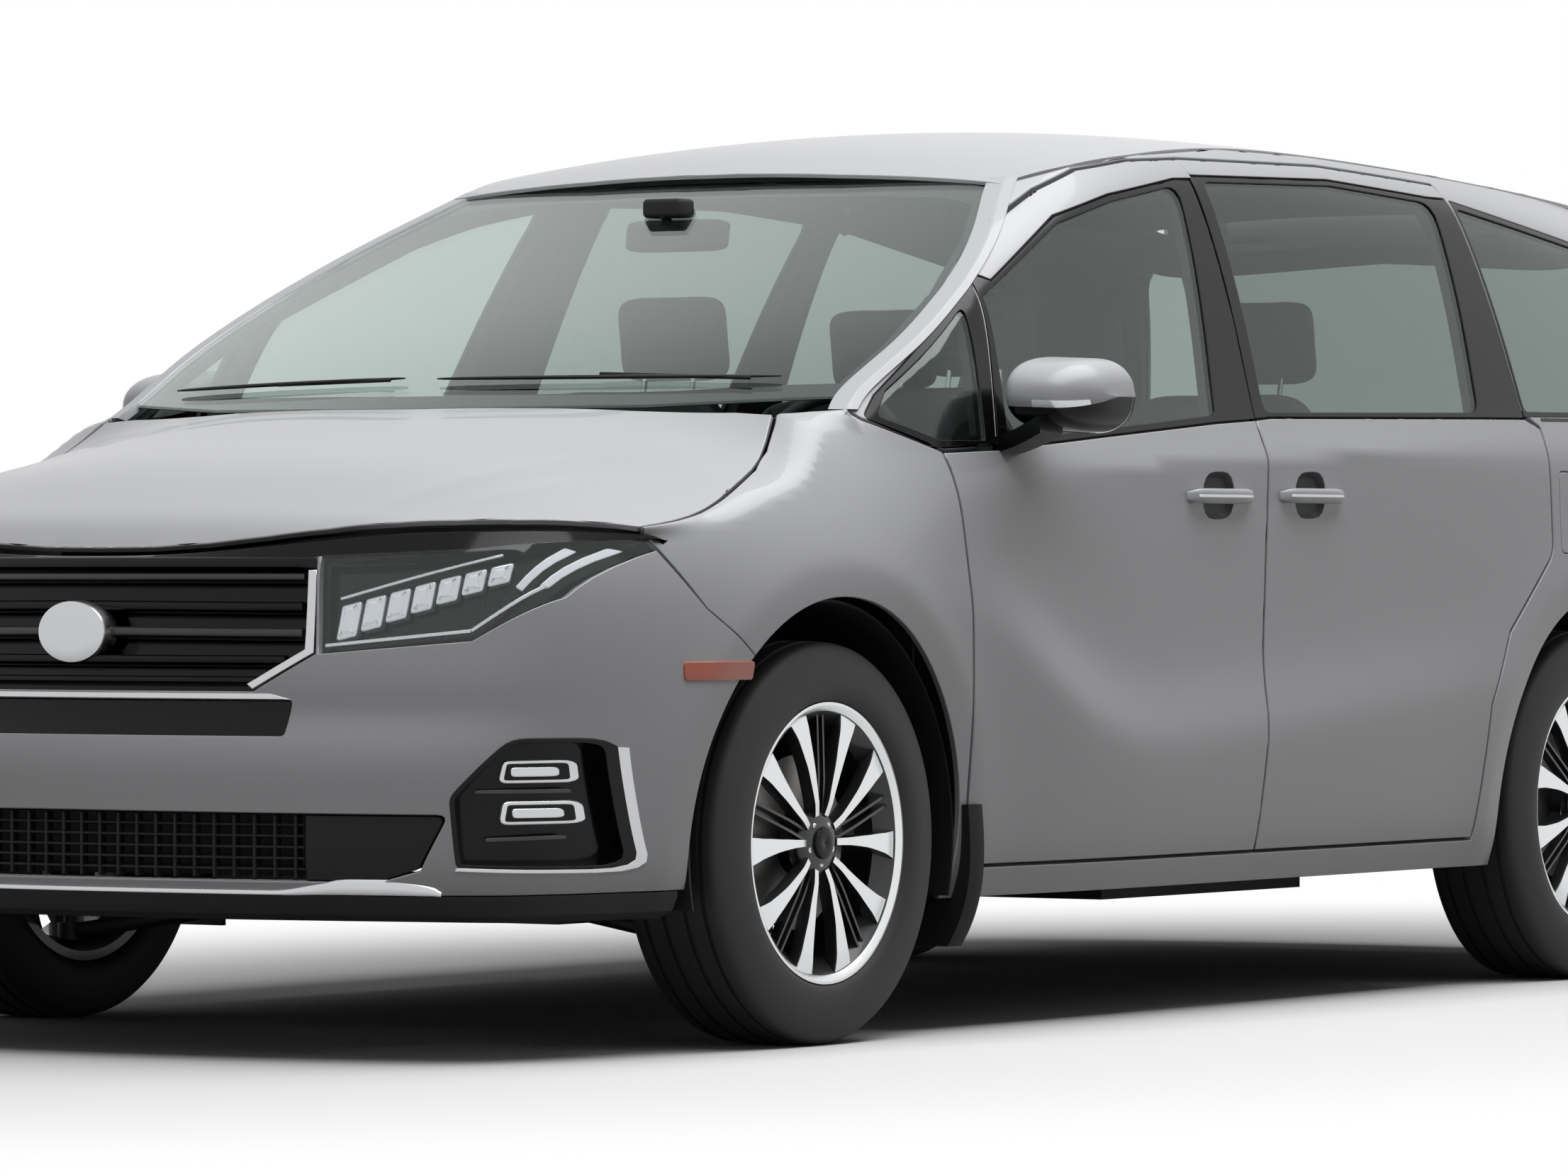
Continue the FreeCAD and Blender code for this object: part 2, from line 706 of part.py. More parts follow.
for z in DOOR_HINGES:
    leaf = Part.makeBox(DOOR_AXIS_X - POST_X + 20, 12, 50, at(POST_X - 20, DOOR_AXIS_Y - 6, z - 25))
    pin = Part.makeCylinder(PIN, 90, at(DOOR_AXIS_X, DOOR_AXIS_Y, z - 45))
    side_body = side_body.fuse(leaf).fuse(pin)
pillar_heights = (1215, 1300, 1400, 1500, 1590)


def pillar_line(across, z):
    """Points of the front pillar's skin at a height, from the windshield's edge to the door or small window."""
    x, y = screen_edge(z)
    return [screen_point(x - across, z), at(x - 2, y, z), at(side_x(y + 34, z) - 2, y + 34, z)]

pillar_outer = [[pillar_line(44, z)[i] for z in pillar_heights] for i in range(3)]
pillar_inner = [[p + Vector(-14, 26, -12) for p in line] for line in pillar_outer]
pillar_inner[1] = [p + Vector(-20, 20, -10) for p in pillar_outer[1]]
pillar = wall(pillar_outer[::-1], pillar_inner[::-1], flat_ends=False)
pillar = pillar.cut(door_opening).cut(from_side(small_window_line))
foot = Part.makeBox(80, 100, 40, at(824, 1490, SILL + 8))
bridge = Part.makeBox(POST_X - 820 - FIT, 94, 150, at(820 + FIT, 370, 962))
knee = Part.makeBox(POST_X - 820 - FIT, 110, 70, at(820 + FIT, 370, 900))
ledge = Part.makeBox(85, 42, 112, at(820 + FIT, 370, 1000))
side_body = side_body.fuse(pillar).fuse(foot).fuse(bridge).fuse(knee).fuse(ledge)
piece("body_side_left", side_body)
piece("body_side_right", mirrored(side_body))


def dropped(lines, by):
    """The same lines moved by a vector."""
    return [[p + by for p in line] for line in lines]

GATE_AXIS_Y = 3757.0
GATE_AXIS_Z = 1672.0
ROOF_ENDS = (("y", along(1030)), ("y", along(3960)))
roof_lines = levelled(
    [[roof_point(x, y) for y in steps(1030, 3960, 14)] for x in steps(-760, 760, 9)], *ROOF_ENDS
)
roof_skin = wall(roof_lines, dropped(roof_lines[::2], Vector(0, 0, -size("skin_wall"))))
roof_lining = wall(roof_lines[::2], dropped(roof_lines[::2], Vector(0, 0, -size("roof_wall"))))
roof_half = [(roof_edge(y)[0] - 3, y) for y in (1090, 1283, 1500, 1850, 2200, 2700, 3200, 3430)]
header = [(0, 1048), (400, 1068), (roof_half[0][0] - 2, 1092)]
roof_outline = header + roof_half[1:] + [(roof_edge(3738)[0] - 3, 3738), (0, 3738)]
lining_outline = [(0, 1090), (540, 1130), (600, 1300), (640, 1600), (640, 2700), (560, 3690), (0, 3700)]
roof = roof_skin.common(from_above(symmetric(roof_outline), 1400, 1900))
roof = roof.fuse(roof_lining.common(from_above(symmetric(lining_outline), 1400, 1900)))
for side in (-1, 1):
    ear = Part.makeBox(14, GATE_AXIS_Y + 7 - 3660, 30, at(side * 390 - 7, 3660, GATE_AXIS_Z - 22))
    pin = Part.makeCylinder(
        PIN, 44, at(side * 390 - 22 + side * 15, GATE_AXIS_Y, GATE_AXIS_Z), Vector(1, 0, 0),
    )
    roof = roof.fuse(ear).fuse(pin)
piece("roof", roof)


# Hood and windshield

hood_x = (-900, -800, -650, -450, -200, 200, 450, 650, 800, 900)
HOOD_ENDS = (("y", along(-945)), ("y", along(110)))
hood_lines = levelled([[hood_point(x, y) for y in steps(-945, 110, 10)] for x in hood_x], *HOOD_ENDS)
hood_slab = wall(hood_lines, dropped(hood_lines, Vector(0, 0, -size("hood_wall"))))
hood_right = [(0, -928), (419, -893), (700, -800), (850, -665)]
hood_right += [(hood_side_x(y) - HALF_SHUT, y) for y in (-560, -300, -140, 0, 90)]
hood_right += [(700, 84), (500, 44), (250, 10), (0, 0)]
hood = hood_slab.common(from_above(symmetric(hood_right), 700, 1300))
HOOD_AXIS_Y = 128.0
HOOD_AXIS_Z = 1112.0
for x in (716, -728):
    arm = from_side([(40, 1096), (40, 1113), (62, 1128), (82, 1142), (140, 1124), (140, 1100)], x, x + 12)
    arm = arm.cut(Part.makeCylinder(PIN + FIT, 60, at(x - 20, HOOD_AXIS_Y, HOOD_AXIS_Z), Vector(1, 0, 0)))
    hood = hood.fuse(arm)
piece("hood", hood)

SCREEN_ENDS = (("x", -900), ("x", 900))
SCREEN_HEIGHTS = (1180, 1274, 1370, 1460, 1560, 1660)
screen_lines = [[screen_point(x, z) for x in steps(-900, 900, 11)] for z in SCREEN_HEIGHTS]
screen_lines = levelled(screen_lines, *SCREEN_ENDS)
screen = wall(
    screen_lines,
    dropped(screen_lines, Vector(0, size("glass_wall") / 2, -size("glass_wall") * 0.87)),
)
screen_outline = [(0, 1196), (700, 1196)]
SCREEN_BORDERS = ((1225, 46), (1300, 52), (1400, 74), (1520, 78), (1600, 78))
screen_outline += [(screen_edge(z)[0] - border, z) for z, border in SCREEN_BORDERS]
screen_outline += [(0, 1636)]
piece("windshield", screen.common(from_front(symmetric(screen_outline), -300, 1500)))

# Nose: bumper, grille, lamps and lower intake

bumper_side = [
    (-545, 990), (-545, 935), (-420, 800), (-289, 715), (-100, 500), (-100, 200), (0, 200), (0, 990),
]
grille_line = [(0, 897), (440, 897), (479, 896), (486, 832), (500, 722), (386, 655), (0, 655)]
lamp_line = [(486, 897), (760, 909), (945, 928), (900, 822), (780, 745), (506, 722), (492, 830)]
slot_line = [(0, 577), (455, 577, 8), (463, 640, 8), (0, 640)]
intake_line = [(0, 321), (640, 321, 10), (712, 342, 10), (760, 440, 12), (0, 442)]
bezel_line = [(772, 347, 12), (935, 340, 30), (935, 573, 25), (850, 573, 40), (762, 470, 30)]
lip_line = [(0, 298), (1100, 298), (1100, 100), (0, 100)]
nose_top_line = [(0, 890), (480, 890), (760, 904), (960, 946), (1100, 946), (1100, 1100), (0, 1100)]
NOSE_Y = (-1200, -440)
bumper = thin_nose.cut(from_side(bumper_side, -1300, 1300))
for hole in (grille_line, slot_line, intake_line, nose_top_line):
    bumper = bumper.cut(from_front(symmetric(hole), *NOSE_Y, grow=HALF_SEAM))
for hole in (lamp_line, bezel_line):
    opening = from_front(hole, *NOSE_Y, grow=HALF_SEAM)
    bumper = bumper.cut(opening).cut(mirrored(opening))
bumper = bumper.cut(from_front(symmetric(lip_line), -1200, 100))
for hole in (arch_hole(0, ARCH), mirrored(arch_hole(0, ARCH))):
    bumper = bumper.cut(hole)
piece("front_bumper", bumper)


def nose_piece(line):
    """A thick insert of the nose."""
    return lamp_nose.common(from_front(line, *NOSE_Y, grow=-HALF_SEAM))

grille = nose_piece(symmetric(grille_line))
for bar in range(5):
    low = 672 + 40 * bar
    grille = grille.cut(from_front(
        symmetric([(0, low), (430, low, 6), (430, low + 26, 6), (0, low + 26)]), *NOSE_Y,
    ))
grille = grille.cut(from_side([(-936, 880), (-700, 880), (-700, 1000), (-936, 1000)], -700, 700))
piece("grille", grille)
lamp = nose_piece(lamp_line).common(from_side(
    [(-2000, 600), (-505, 600), (-505, 885), (-556, 942), (-556, 1000), (-2000, 1000)], 0,
))
piece("headlamps", both(lamp))
piece(
    "fog_lamps",
    both(nose_piece(bezel_line).common(from_side([(-2000, 0), (-530, 0), (-530, 900), (-2000, 900)], 0))),
)
intake = nose_piece(symmetric(intake_line))
for bar in range(4):
    low = 334 + 27 * bar
    intake = intake.cut(from_front(
        symmetric([(0, low), (560, low, 4), (560, low + 17, 4), (0, low + 17)]), *NOSE_Y,
    ))
slot = nose_piece(symmetric(slot_line))
lip = thin_nose.common(from_front(symmetric(lip_line), -1200, -100, grow=-HALF_SEAM))
for hole in (arch_hole(0, ARCH + 20), mirrored(arch_hole(0, ARCH + 20))):
    lip = lip.cut(hole)
lower = Part.makeCompound(intake.Solids + slot.Solids + lip.Solids)
piece("lower_grille", lower)

# Tail: tailgate, bumper and lamps

gate_line = [
    (0, 652), (640, 652, 20), (690, 760), (700, 905), (770, 985), (790, 1180), (760, 1300), (655, 1590),
    (560, 1640), (0, 1640),
]
gate_glass_line = [(0, 1165), (700, 1165, 60), (600, 1560, 60), (0, 1585)]
tail_lamp_line = [(700, 905), (690, 800), (1000, 800), (1000, 1100), (790, 1180), (770, 985)]
rear_y = (3300, 4300)
gate = gate_tail.common(from_front(symmetric(gate_line), *rear_y, grow=-HALF_SHUT))
gate = gate.cut(from_front(symmetric(gate_glass_line), *rear_y))
gate = gate.common(Part.makeBox(2000, 2000, 2000, at(-1000, GATE_AXIS_Y + 8, 0)))
spoiler_line = [
    (GATE_AXIS_Y + 8, 1676), (GATE_AXIS_Y + 24, 1686), (3930, 1668, 60), (3968, 1652, 6),
    (3930, 1638, 20), (3840, 1627, 20), (3812, 1600), (GATE_AXIS_Y + 8, 1600),
]
spoiler = from_side(spoiler_line, -556, 556)
for side in (-1, 1):
    slot = Part.makeBox(62, 30, 60, at(side * 390 - 31 + side * 13, GATE_AXIS_Y - 5, GATE_AXIS_Z - 45))
    spoiler = spoiler.cut(slot)
    knuckle = Part.makeCylinder(12.0, 20, at(side * 412 - 10, GATE_AXIS_Y, GATE_AXIS_Z), Vector(1, 0, 0))
    knuckle = knuckle.fuse(Part.makeBox(20, 32, 14, at(side * 412 - 10, GATE_AXIS_Y, GATE_AXIS_Z - 12)))
    knuckle = knuckle.cut(Part.makeCylinder(
        PIN + FIT, 60, at(side * 412 - 30, GATE_AXIS_Y, GATE_AXIS_Z), Vector(1, 0, 0),
    ))
    spoiler = spoiler.fuse(knuckle)
gate = gate.fuse(spoiler)
for side in (-1, 1):
    gate = gate.cut(Part.makeCylinder(3, 160, at(side * 88.9, 4000, 880), Vector(0, 1, 0)))
piece("tailgate", gate)
gate_pane_lines = [line + flipped(line[-2::-1]) for line in body_lines(tail_u, gate_levels[4:])]
gate_pane_lines = inset(gate_pane_lines, 8.0)
gate_pane_inner = inset(gate_pane_lines, size("glass_wall"))
GATE_ENDS = (("y", along(3330)), ("y", along(3330)))
gate_pane = wall(levelled(gate_pane_lines, *GATE_ENDS), levelled(gate_pane_inner, *GATE_ENDS))
piece("tailgate_glass", gate_pane.common(from_front(symmetric(gate_glass_line), *rear_y, grow=-FIT)))
tail_lamp = gate_tail.common(from_front(tail_lamp_line, 3560, 4300, grow=-HALF_SEAM))
piece("tail_lamps", both(tail_lamp))
rear_bumper_line = [(0, 648), (2000, 648), (2000, SILL), (0, SILL)]
rear_bumper = thin_tail.common(from_front(symmetric(rear_bumper_line), 3322, 4300))
for hole in (arch_hole(STYLED_WHEELBASE, ARCH), mirrored(arch_hole(STYLED_WHEELBASE, ARCH))):
    rear_bumper = rear_bumper.cut(hole)
piece("rear_bumper", rear_bumper)


def gate_edge(z):
    """Half width of the tailgate's opening at a height."""
    points = gate_line[1:-1]
    for low, high in zip(points, points[1:]):
        if z <= high[1] or high is points[-1]:
            return low[0] + (high[0] - low[0]) * (z - low[1]) / (high[1] - low[1]) + HALF_SHUT


def corner_point(share, z):
    """A point of the corner post, share 0 at the body side and 1 at the tailgate."""
    low, high = 3427.0, TAIL_END
    for _ in range(40):
        middle = (low + high) / 2
        if body_point(middle, z).x > gate_edge(z) + 1.5:
            low = middle
        else:
            high = middle
    return body_point(3427 + share * (low - 3427), z)

corner_heights = (652, 760, 905, 985, 1080, 1120, 1180, 1300, 1450, 1590, 1638)
corner_lines = [[corner_point(share, z) for share in steps(0, 1, 9)] for z in corner_heights]
corner_inner = inset(corner_lines, 40.0)
for outer_line, inner_line in zip(corner_lines, corner_inner):
    outer_line[0].y = inner_line[0].y = along(3427)
    inner_line[-1].x = outer_line[-1].x
corner = wall(corner_lines, corner_inner, flat_ends=False)
corner = corner.cut(from_front(
    [(600, 800 - FIT), (1100, 800 - FIT), (1100, 1100 + FIT), (700, 1260)], 3560 - FIT, 4300,
))
corner = corner.cut(from_side(quarter_window_line, 500))
piece("corner_posts", both(corner))
side_panes.append(pane(quarter_window_line))
piece("side_glass", both(Part.makeCompound(side_panes)))


# Sub-parts built from sketches and primitives


def bind(item, prop, length):
    """Ties a property to the sheet."""
    item.setExpression(prop, Dim.of(length).text)


def put(item, x, y, z, axis=Vector(0, 0, 1), degrees=0.0):
    """Places a sub-part, its position tied to the sheet."""
    item.Placement = Placement(Vector(0, 0, 0), Rotation(axis, degrees))
    for letter, length in zip("xyz", (x, y, z)):
        bind(item, ".Placement.Base." + letter, length)
    return item


def sketched(name, corners, role):
    """A body with one closed sketch."""
    body = doc.addObject("PartDesign::Body", name)
    body.Label = name
    return sketched_more(body, "outline", corners, role)


def sketched_more(body, title, corners, role):
    """One more closed sketch in a body, every corner held by the sheet."""
    sketch = body.newObject("Sketcher::SketchObject", body.Name + "_" + title)
    plane = [f for f in body.Origin.OriginFeatures if f.Role == role][0]
    sketch.AttachmentSupport = [(plane, "")]
    sketch.MapMode = "FlatFace"
    corners = [(Dim.of(a), Dim.of(b)) for a, b in corners]
    points = [Vector(a.value, b.value, 0) for a, b in corners]
    for i, start in enumerate(points):
        sketch.addGeometry(Part.LineSegment(start, points[(i + 1) % len(points)]))
    for i in range(len(points)):
        sketch.addConstraint(Sketcher.Constraint("Coincident", i, 2, (i + 1) % len(points), 1))
    for i, (a, b) in enumerate(corners):
        for kind, length, line in (("DistanceX", a, -2), ("DistanceY", b, -1)):
            if abs(length.value) < 1e-9:
                sketch.addConstraint(Sketcher.Constraint("PointOnObject", i, 1, line))
                continue
            number = sketch.addConstraint(Sketcher.Constraint(kind, -1, 1, i, 1, length.value))
            sketch.setExpression("Constraints[%d]" % number, length.text)
    return body, sketch


def turned(name, corners):
    """A body of revolution about its own X axis; corners are (along the axis, radius)."""
    body, sketch = sketched(name, corners, "XZ_Plane")
    spin = body.newObject("PartDesign::Revolution", name + "_turn")
    spin.Profile = sketch
    spin.ReferenceAxis = (sketch, ["H_Axis"])
    spin.Angle = 360
    return body, spin


def upright(edge):
    """Whether an edge runs along Z."""
    run = edge.Vertexes[-1].Point - edge.Vertexes[0].Point
    return abs(run.z) > 0.9 * edge.Length


def softened(body, feature, radius):
    """Rounds the upright edges of the body's last feature."""
    doc.recompute()
    edges = ["Edge%d" % (i + 1) for i, edge in enumerate(feature.Shape.Edges) if upright(edge)]
    fillet = body.newObject("PartDesign::Fillet", body.Name + "_round")
    fillet.Base = (feature, edges)
    bind(fillet, "Radius", radius)
    body.Tip = fillet
    return body

R = dim("tyre_radius")
HALF_TYRE = dim("tyre_width") / 2
HALF_TREAD = dim("tread_width") / 2
RIM = dim("rim_radius")
HALF_RIM = dim("rim_width") / 2
BEAD = dim("rim_radius") - 14

FLANGE = 7

TYRE_FLATS = 64


def ring(x, radius):
    """A many-sided ring about the X axis with a corner at its foot."""
    turns = [math.radians(360.0 * i / TYRE_FLATS) for i in range(TYRE_FLATS + 1)]
    return Part.makePolygon([Vector(x, radius * math.sin(t), -radius * math.cos(t)) for t in turns])


def tyre(name):
    """A tyre in flats, hollow and open to its rim."""
    bead = (HALF_RIM - FLANGE - dim("fit")).value
    wide, tread = HALF_TYRE.value, HALF_TREAD.value
    high, seat = R.value, RIM.value + FIT
    hole = BEAD.value / math.cos(math.pi / TYRE_FLATS)
    section = [
        (-bead, seat), (-wide, high - 52), (-tread, high), (tread, high), (wide, high - 52),
        (bead, seat),
    ]
    outside = Part.makeLoft([ring(x, radius) for x, radius in section], True, True)
    inside = Part.makeLoft([ring(-bead - 1, hole), ring(bead + 1, hole)], True, True)
    item = doc.addObject("Part::Feature", name)
    item.Label = name
    item.Shape = outside.cut(inside)
    return item


def rim(name):
    """A wheel: a barrel with flanges, a hub with its brake disc, and ten blades."""
    in_ = BEAD - dim("rim_wall")
    out = BEAD - dim("fit")
    barrel = [
        (-HALF_RIM, RIM), (FLANGE - HALF_RIM, RIM), (FLANGE - HALF_RIM, out), (HALF_RIM - FLANGE, out),
        (HALF_RIM - FLANGE, RIM), (HALF_RIM, RIM), (HALF_RIM, in_), (-HALF_RIM, in_),
    ]
    body, spin = turned(name, barrel)
    hub, turn = sketched_more(body, "hub", [
        (HALF_RIM - 14, 0), (HALF_RIM - 14, 30), (HALF_RIM - 24, dim("hub_radius")),
        (26, dim("hub_radius")), (26, dim("disc_radius")), (0, dim("disc_radius")),
        (0, SPINDLE + dim("fit")), (60, SPINDLE + dim("fit")), (60, 0),
    ], "XZ_Plane")
    spin = body.newObject("PartDesign::Revolution", name + "_hub_turn")
    spin.Profile = turn
    spin.ReferenceAxis = (turn, ["H_Axis"])
    spin.Angle = 360
    blade_sketch = sketched_more(body, "blade", [
        (-14, dim("hub_radius") - 12), (14, dim("hub_radius") - 12), (28, in_ + 4), (-28, in_ + 4),
    ], "YZ_Plane")[1]
    blade_sketch.setExpression(".AttachmentOffset.Base.z", (HALF_RIM - 34).text)
    blade = body.newObject("PartDesign::Pad", name + "_blade")
    blade.Profile = blade_sketch
    blade.Length = 24
    pattern = body.newObject("PartDesign::PolarPattern", name + "_blades")
    pattern.Originals = [blade]
    pattern.Axis = ([f for f in body.Origin.OriginFeatures if f.Role == "X_Axis"][0], [""])
    pattern.Angle = 360
    pattern.Occurrences = 10
    body.Tip = pattern
    return body

SPINDLE = Dim.of(19)
for rear, y_name in ((False, "front"), (True, "rear")):
    for side, x_name in ((1, "left"), (-1, "right")):
        for make, kind in ((tyre, "tyre"), (rim, "rim")):
            wheel = make("%s_%s_%s" % (kind, y_name, x_name))
            put(wheel, dim("track") / 2 * side, axle(rear), R, degrees=0 if side > 0 else 180)
            parts.append(wheel)


def box(name, x0, x1, y0, y1, z0, z1):
    """A box between its faces."""
    item = doc.addObject("Part::Box", name)
    bind(item, "Length", Dim.of(x1) - x0)
    bind(item, "Width", Dim.of(y1) - y0)
    bind(item, "Height", Dim.of(z1) - z0)
    return put(item, x0, y0, z0)


def rod(name, start, stop, radius):
    """A round bar between two points."""
    item = doc.addObject("Part::Cylinder", name)
    run = stop - start
    bind(item, "Radius", radius)
    item.Height = run.Length
    item.Placement = Placement(start, Rotation(Vector(0, 0, 1), run))
    return item


def fused(name, *items):
    """Touching solids as one."""
    item = doc.addObject("Part::MultiFuse", name)
    item.Shapes = list(items)
    item.Label = name
    item.Refine = True
    parts.append(item)
    return item


def grouped(name, *items):
    """Like solids that stay apart, in one node."""
    item = doc.addObject("Part::Compound", name)
    item.Links = list(items)
    item.Label = name
    parts.append(item)
    return item


def twin(name, item):
    """The right-hand copy of a left-hand object."""
    copy = doc.addObject("Part::Mirroring", name)
    copy.Source = item
    copy.Normal = Vector(1, 0, 0)
    copy.Base = Vector(0, 0, 0)
    copy.Label = name
    return copy


# Chassis

FA = axle(False)
RA = axle(True)
FLOOR = dim("floor_height")
FLOOR_LOW = FLOOR - dim("floor_wall")
SILL_IN = Dim.of(side_x(450, 228) - size("door_wall") - size("fit"))
POST_IN = Dim.of(side_x(1600, SILL + 10) - size("door_wall") - POST_GAP - 50 - size("fit"))
BALL = Vector(795, FRONT, 196)
STRUT_TOP = Vector(655, FRONT + 22, 880)

underbody = [
    box("floor", -SILL_IN, SILL_IN, FA + 480, FA + 1470, FLOOR_LOW, FLOOR),
    box("floor_waist", -POST_IN, POST_IN, FA + 1470, FA + 1620, FLOOR_LOW, FLOOR),
    box("middle_floor", -SILL_IN, SILL_IN, FA + 1620, RA - 470, FLOOR_LOW, FLOOR),
    box("rear_floor", -690, 690, RA - 480, RA + 900, 520, 550),
    box("rear_riser", -SILL_IN, SILL_IN, RA - 510, RA - 470, FLOOR_LOW, 550),
    box("well_floor", -560, 560, RA + 400, RA + 900, 300, 325),
    box("well_front", -560, 560, RA + 400, RA + 420, 300, 550),
    box("well_back", -560, 560, RA + 880, RA + 900, 300, 550),
    box("well_left", 545, 565, RA + 400, RA + 900, 300, 550),
    box("well_right", -565, -545, RA + 400, RA + 900, 300, 550),
    box("firewall", -820, 820, FA + 480, FA + 500, FLOOR_LOW, 1090),
]
for side, name in ((1, "left"), (-1, "right")):
    inner, outer = (420, 490) if side > 0 else (-490, -420)
    underbody.append(box("front_rail_" + name, inner, outer, FA - 800, FA + 500, 400, 500))
    underbody.append(box(
        "tower_" + name, min(side * 490, side * 700), max(side * 490, side * 700), FA - 90, FA + 130,
        905, 925,
    ))
    underbody.append(box(
        "tower_post_" + name, min(side * 480, side * 500), max(side * 480, side * 500), FA - 90,
        FA + 130, 480, 925,
    ))
    low, high = (690, 712) if side > 0 else (-712, -690)
    underbody.append(box("wheelhouse_" + name, low, high, RA - 470, RA + 470, 520, 900))
    underbody.append(box(
        "rear_rail_" + name, min(side * 560, side * 640), max(side * 560, side * 640), RA - 480,
        RA + 960, 440, 530,
    ))
for side, name in ((1, "left"), (-1, "right")):
    inner = Dim.of(700 if side > 0 else -712)
    underbody.append(box("hood_bracket_" + name, inner, inner + 12, FA + 114, FA + 142, 1080, 1124))
    start = Vector(side * 704, along(HOOD_AXIS_Y), HOOD_AXIS_Z)
    underbody.append(rod("hood_pin_" + name, start, start + Vector(side * 28, 0, 0), PIN))
underbody.append(box("bumper_beam", -640, 640, FA - 830, FA - 800, 400, 500))
underbody.append(box("rear_beam", -640, 640, RA + 960, RA + 990, 440, 530))
underbody.append(box("cowl_top", -820, 820, FA + 110, FA + 500, 1070, 1090))
fused("underbody", *underbody)

subframe = [
    box("cross_member", -400, 400, FA - 60, FA + 220, 210, 290),
    box("stand_left", 360, 400, FA + 60, FA + 220, 250, 400.5),
    box("stand_right", -400, -360, FA + 60, FA + 220, 250, 400.5),
    box("rail_foot_left", 360, 480, FA + 60, FA + 220, 385, 399.7),
    box("rail_foot_right", -480, -360, FA + 60, FA + 220, 385, 399.7),
]
for side, name in ((1, "left"), (-1, "right")):
    inner = Vector(side * 380, FRONT + 40, 230)
    ball = Vector(side * BALL.x, BALL.y, BALL.z - 30)
    back = Vector(side * 380, FRONT + 190, 240)
    subframe.append(rod("arm_" + name, inner, ball, 16))
    subframe.append(rod("arm_back_" + name, back, ball, 14))
    subframe.append(rod("ball_cup_" + name, ball - Vector(0, 0, 14), ball + Vector(0, 0, 18.5), 24))
fused("front_subframe", *subframe)

knuckle = [
    box("carrier", 765, 812, FA - 40, FA + 40, 200, 520),
    box("carrier_arm", 664, 800, FA - 22, FA + 22, 500, 545),
    rod("spindle", Vector(800, FRONT, HUB_Z), Vector(size("track") / 2 + 57, FRONT, HUB_Z), SPINDLE),
    rod("strut", Vector(690, FRONT, 505), STRUT_TOP, 23),
    rod("spring_seat", STRUT_TOP - Vector(0, 0, 240), STRUT_TOP - Vector(0, 0, 60), 46),
    rod("ball_stud", BALL - Vector(0, 0, 9.7), BALL + Vector(0, 0, 10), 12),
    rod("top_mount", STRUT_TOP - Vector(0, 0, 60), STRUT_TOP + Vector(0, 0, 19.5), 30),
]
left_knuckle = fused("knuckle_left", *knuckle)
parts.append(twin("knuckle_right", left_knuckle))

rear_parts = [
    rod(
        "axle_beam", Vector(-700, along(STYLED_WHEELBASE) - 60, HUB_Z - 30),
        Vector(700, along(STYLED_WHEELBASE) - 60, HUB_Z - 30), 38,
    ),
]
for side, name in ((1, "left"), (-1, "right")):
    hub = Vector(side * 700, along(STYLED_WHEELBASE), HUB_Z)
    rear_parts.append(rod(
        "rear_spindle_" + name, hub, hub + Vector(side * (size("track") / 2 + 57 - 700), 0, 0),
        SPINDLE,
    ))
    rear_parts.append(box(
        "rear_carrier_" + name, min(side * 690, side * 725), max(side * 690, side * 725), RA - 110,
        RA + 60, 280, 470,
    ))
    rear_parts.append(rod(
        "rear_spring_" + name, Vector(side * 600, hub.y - 60, HUB_Z - 30),
        Vector(side * 600, hub.y - 60, 439.7), 50,
    ))
    rear_parts.append(rod(
        "trailing_arm_" + name, Vector(side * 650, hub.y - 60, HUB_Z + 10),
        Vector(side * 650, hub.y - 469.7, HUB_Z + 10), 24,
    ))
fused("rear_axle", *rear_parts)

parts.append(box("engine", -350, 350, FA - 430, FA + 190, 330, 880))
exhaust = [
    rod("pipe_front", Vector(-120, FRONT + 250, 250), Vector(-120, along(2300), 250), 28),
    rod("pipe_rear", Vector(-120, along(2300) - 10, 250), Vector(-330, along(3000) + 420, 262), 28),
    box("silencer", -480, -250, RA + 380, RA + 800, 205, 299.7),
]
fused("exhaust", *exhaust)
parts.append(box("fuel_tank", 60, 640, FA + 1500, FA + 2300, 210, FLOOR_LOW - 0.3))


# Cabin


def soft_box(name, wide, deep, high, radius):
    """A cushion, centred on its own origin and standing on it."""
    half_w = Dim.of(wide) / 2
    half_d = Dim.of(deep) / 2
    corners = [(-half_w, -half_d), (half_w, -half_d), (half_w, half_d), (-half_w, half_d)]
    body, sketch = sketched(name, corners, "XY_Plane")
    pad = body.newObject("PartDesign::Pad", name + "_pad")
    pad.Profile = sketch
    bind(pad, "Length", high)
    return softened(body, pad, radius)


def seat(name, x, y, wide):
    """A seat with its base, cushion, back and head restraint."""
    station = Dim.of(y) + FA
    base = box(
        name + "_base", Dim.of(x) - wide / 2 + 60, Dim.of(x) + wide / 2 - 60, station - 180,
        station + 200, FLOOR + 0.3, FLOOR + 240,
    )
    cushion = put(soft_box(name + "_cushion", wide, 500, dim("cushion"), 40), x, station, FLOOR + 220)
    back = put(
        soft_box(name + "_back", wide - 30, 120, 620, 45), x, station + 215, FLOOR + 300,
        Vector(1, 0, 0), -14,
    )
    head = put(soft_box(name + "_head", 270, 90, 260, 40), x, station + 370, FLOOR + 880, Vector(1, 0, 0), -8)
    whole = doc.addObject("Part::MultiFuse", name)
    whole.Shapes = [base, cushion, back, head]
    return whole

SEAT = dim("seat_width")
grouped("front_seats", seat("driver", 370, 1080, SEAT), seat("passenger", -370, 1080, SEAT))
rear_row = [seat("second_left", 470, 2040, SEAT - 20), seat("second_right", -470, 2040, SEAT - 20)]
grouped("rear_seats", *rear_row, seat("second_middle", 0, 2040, SEAT - 160))

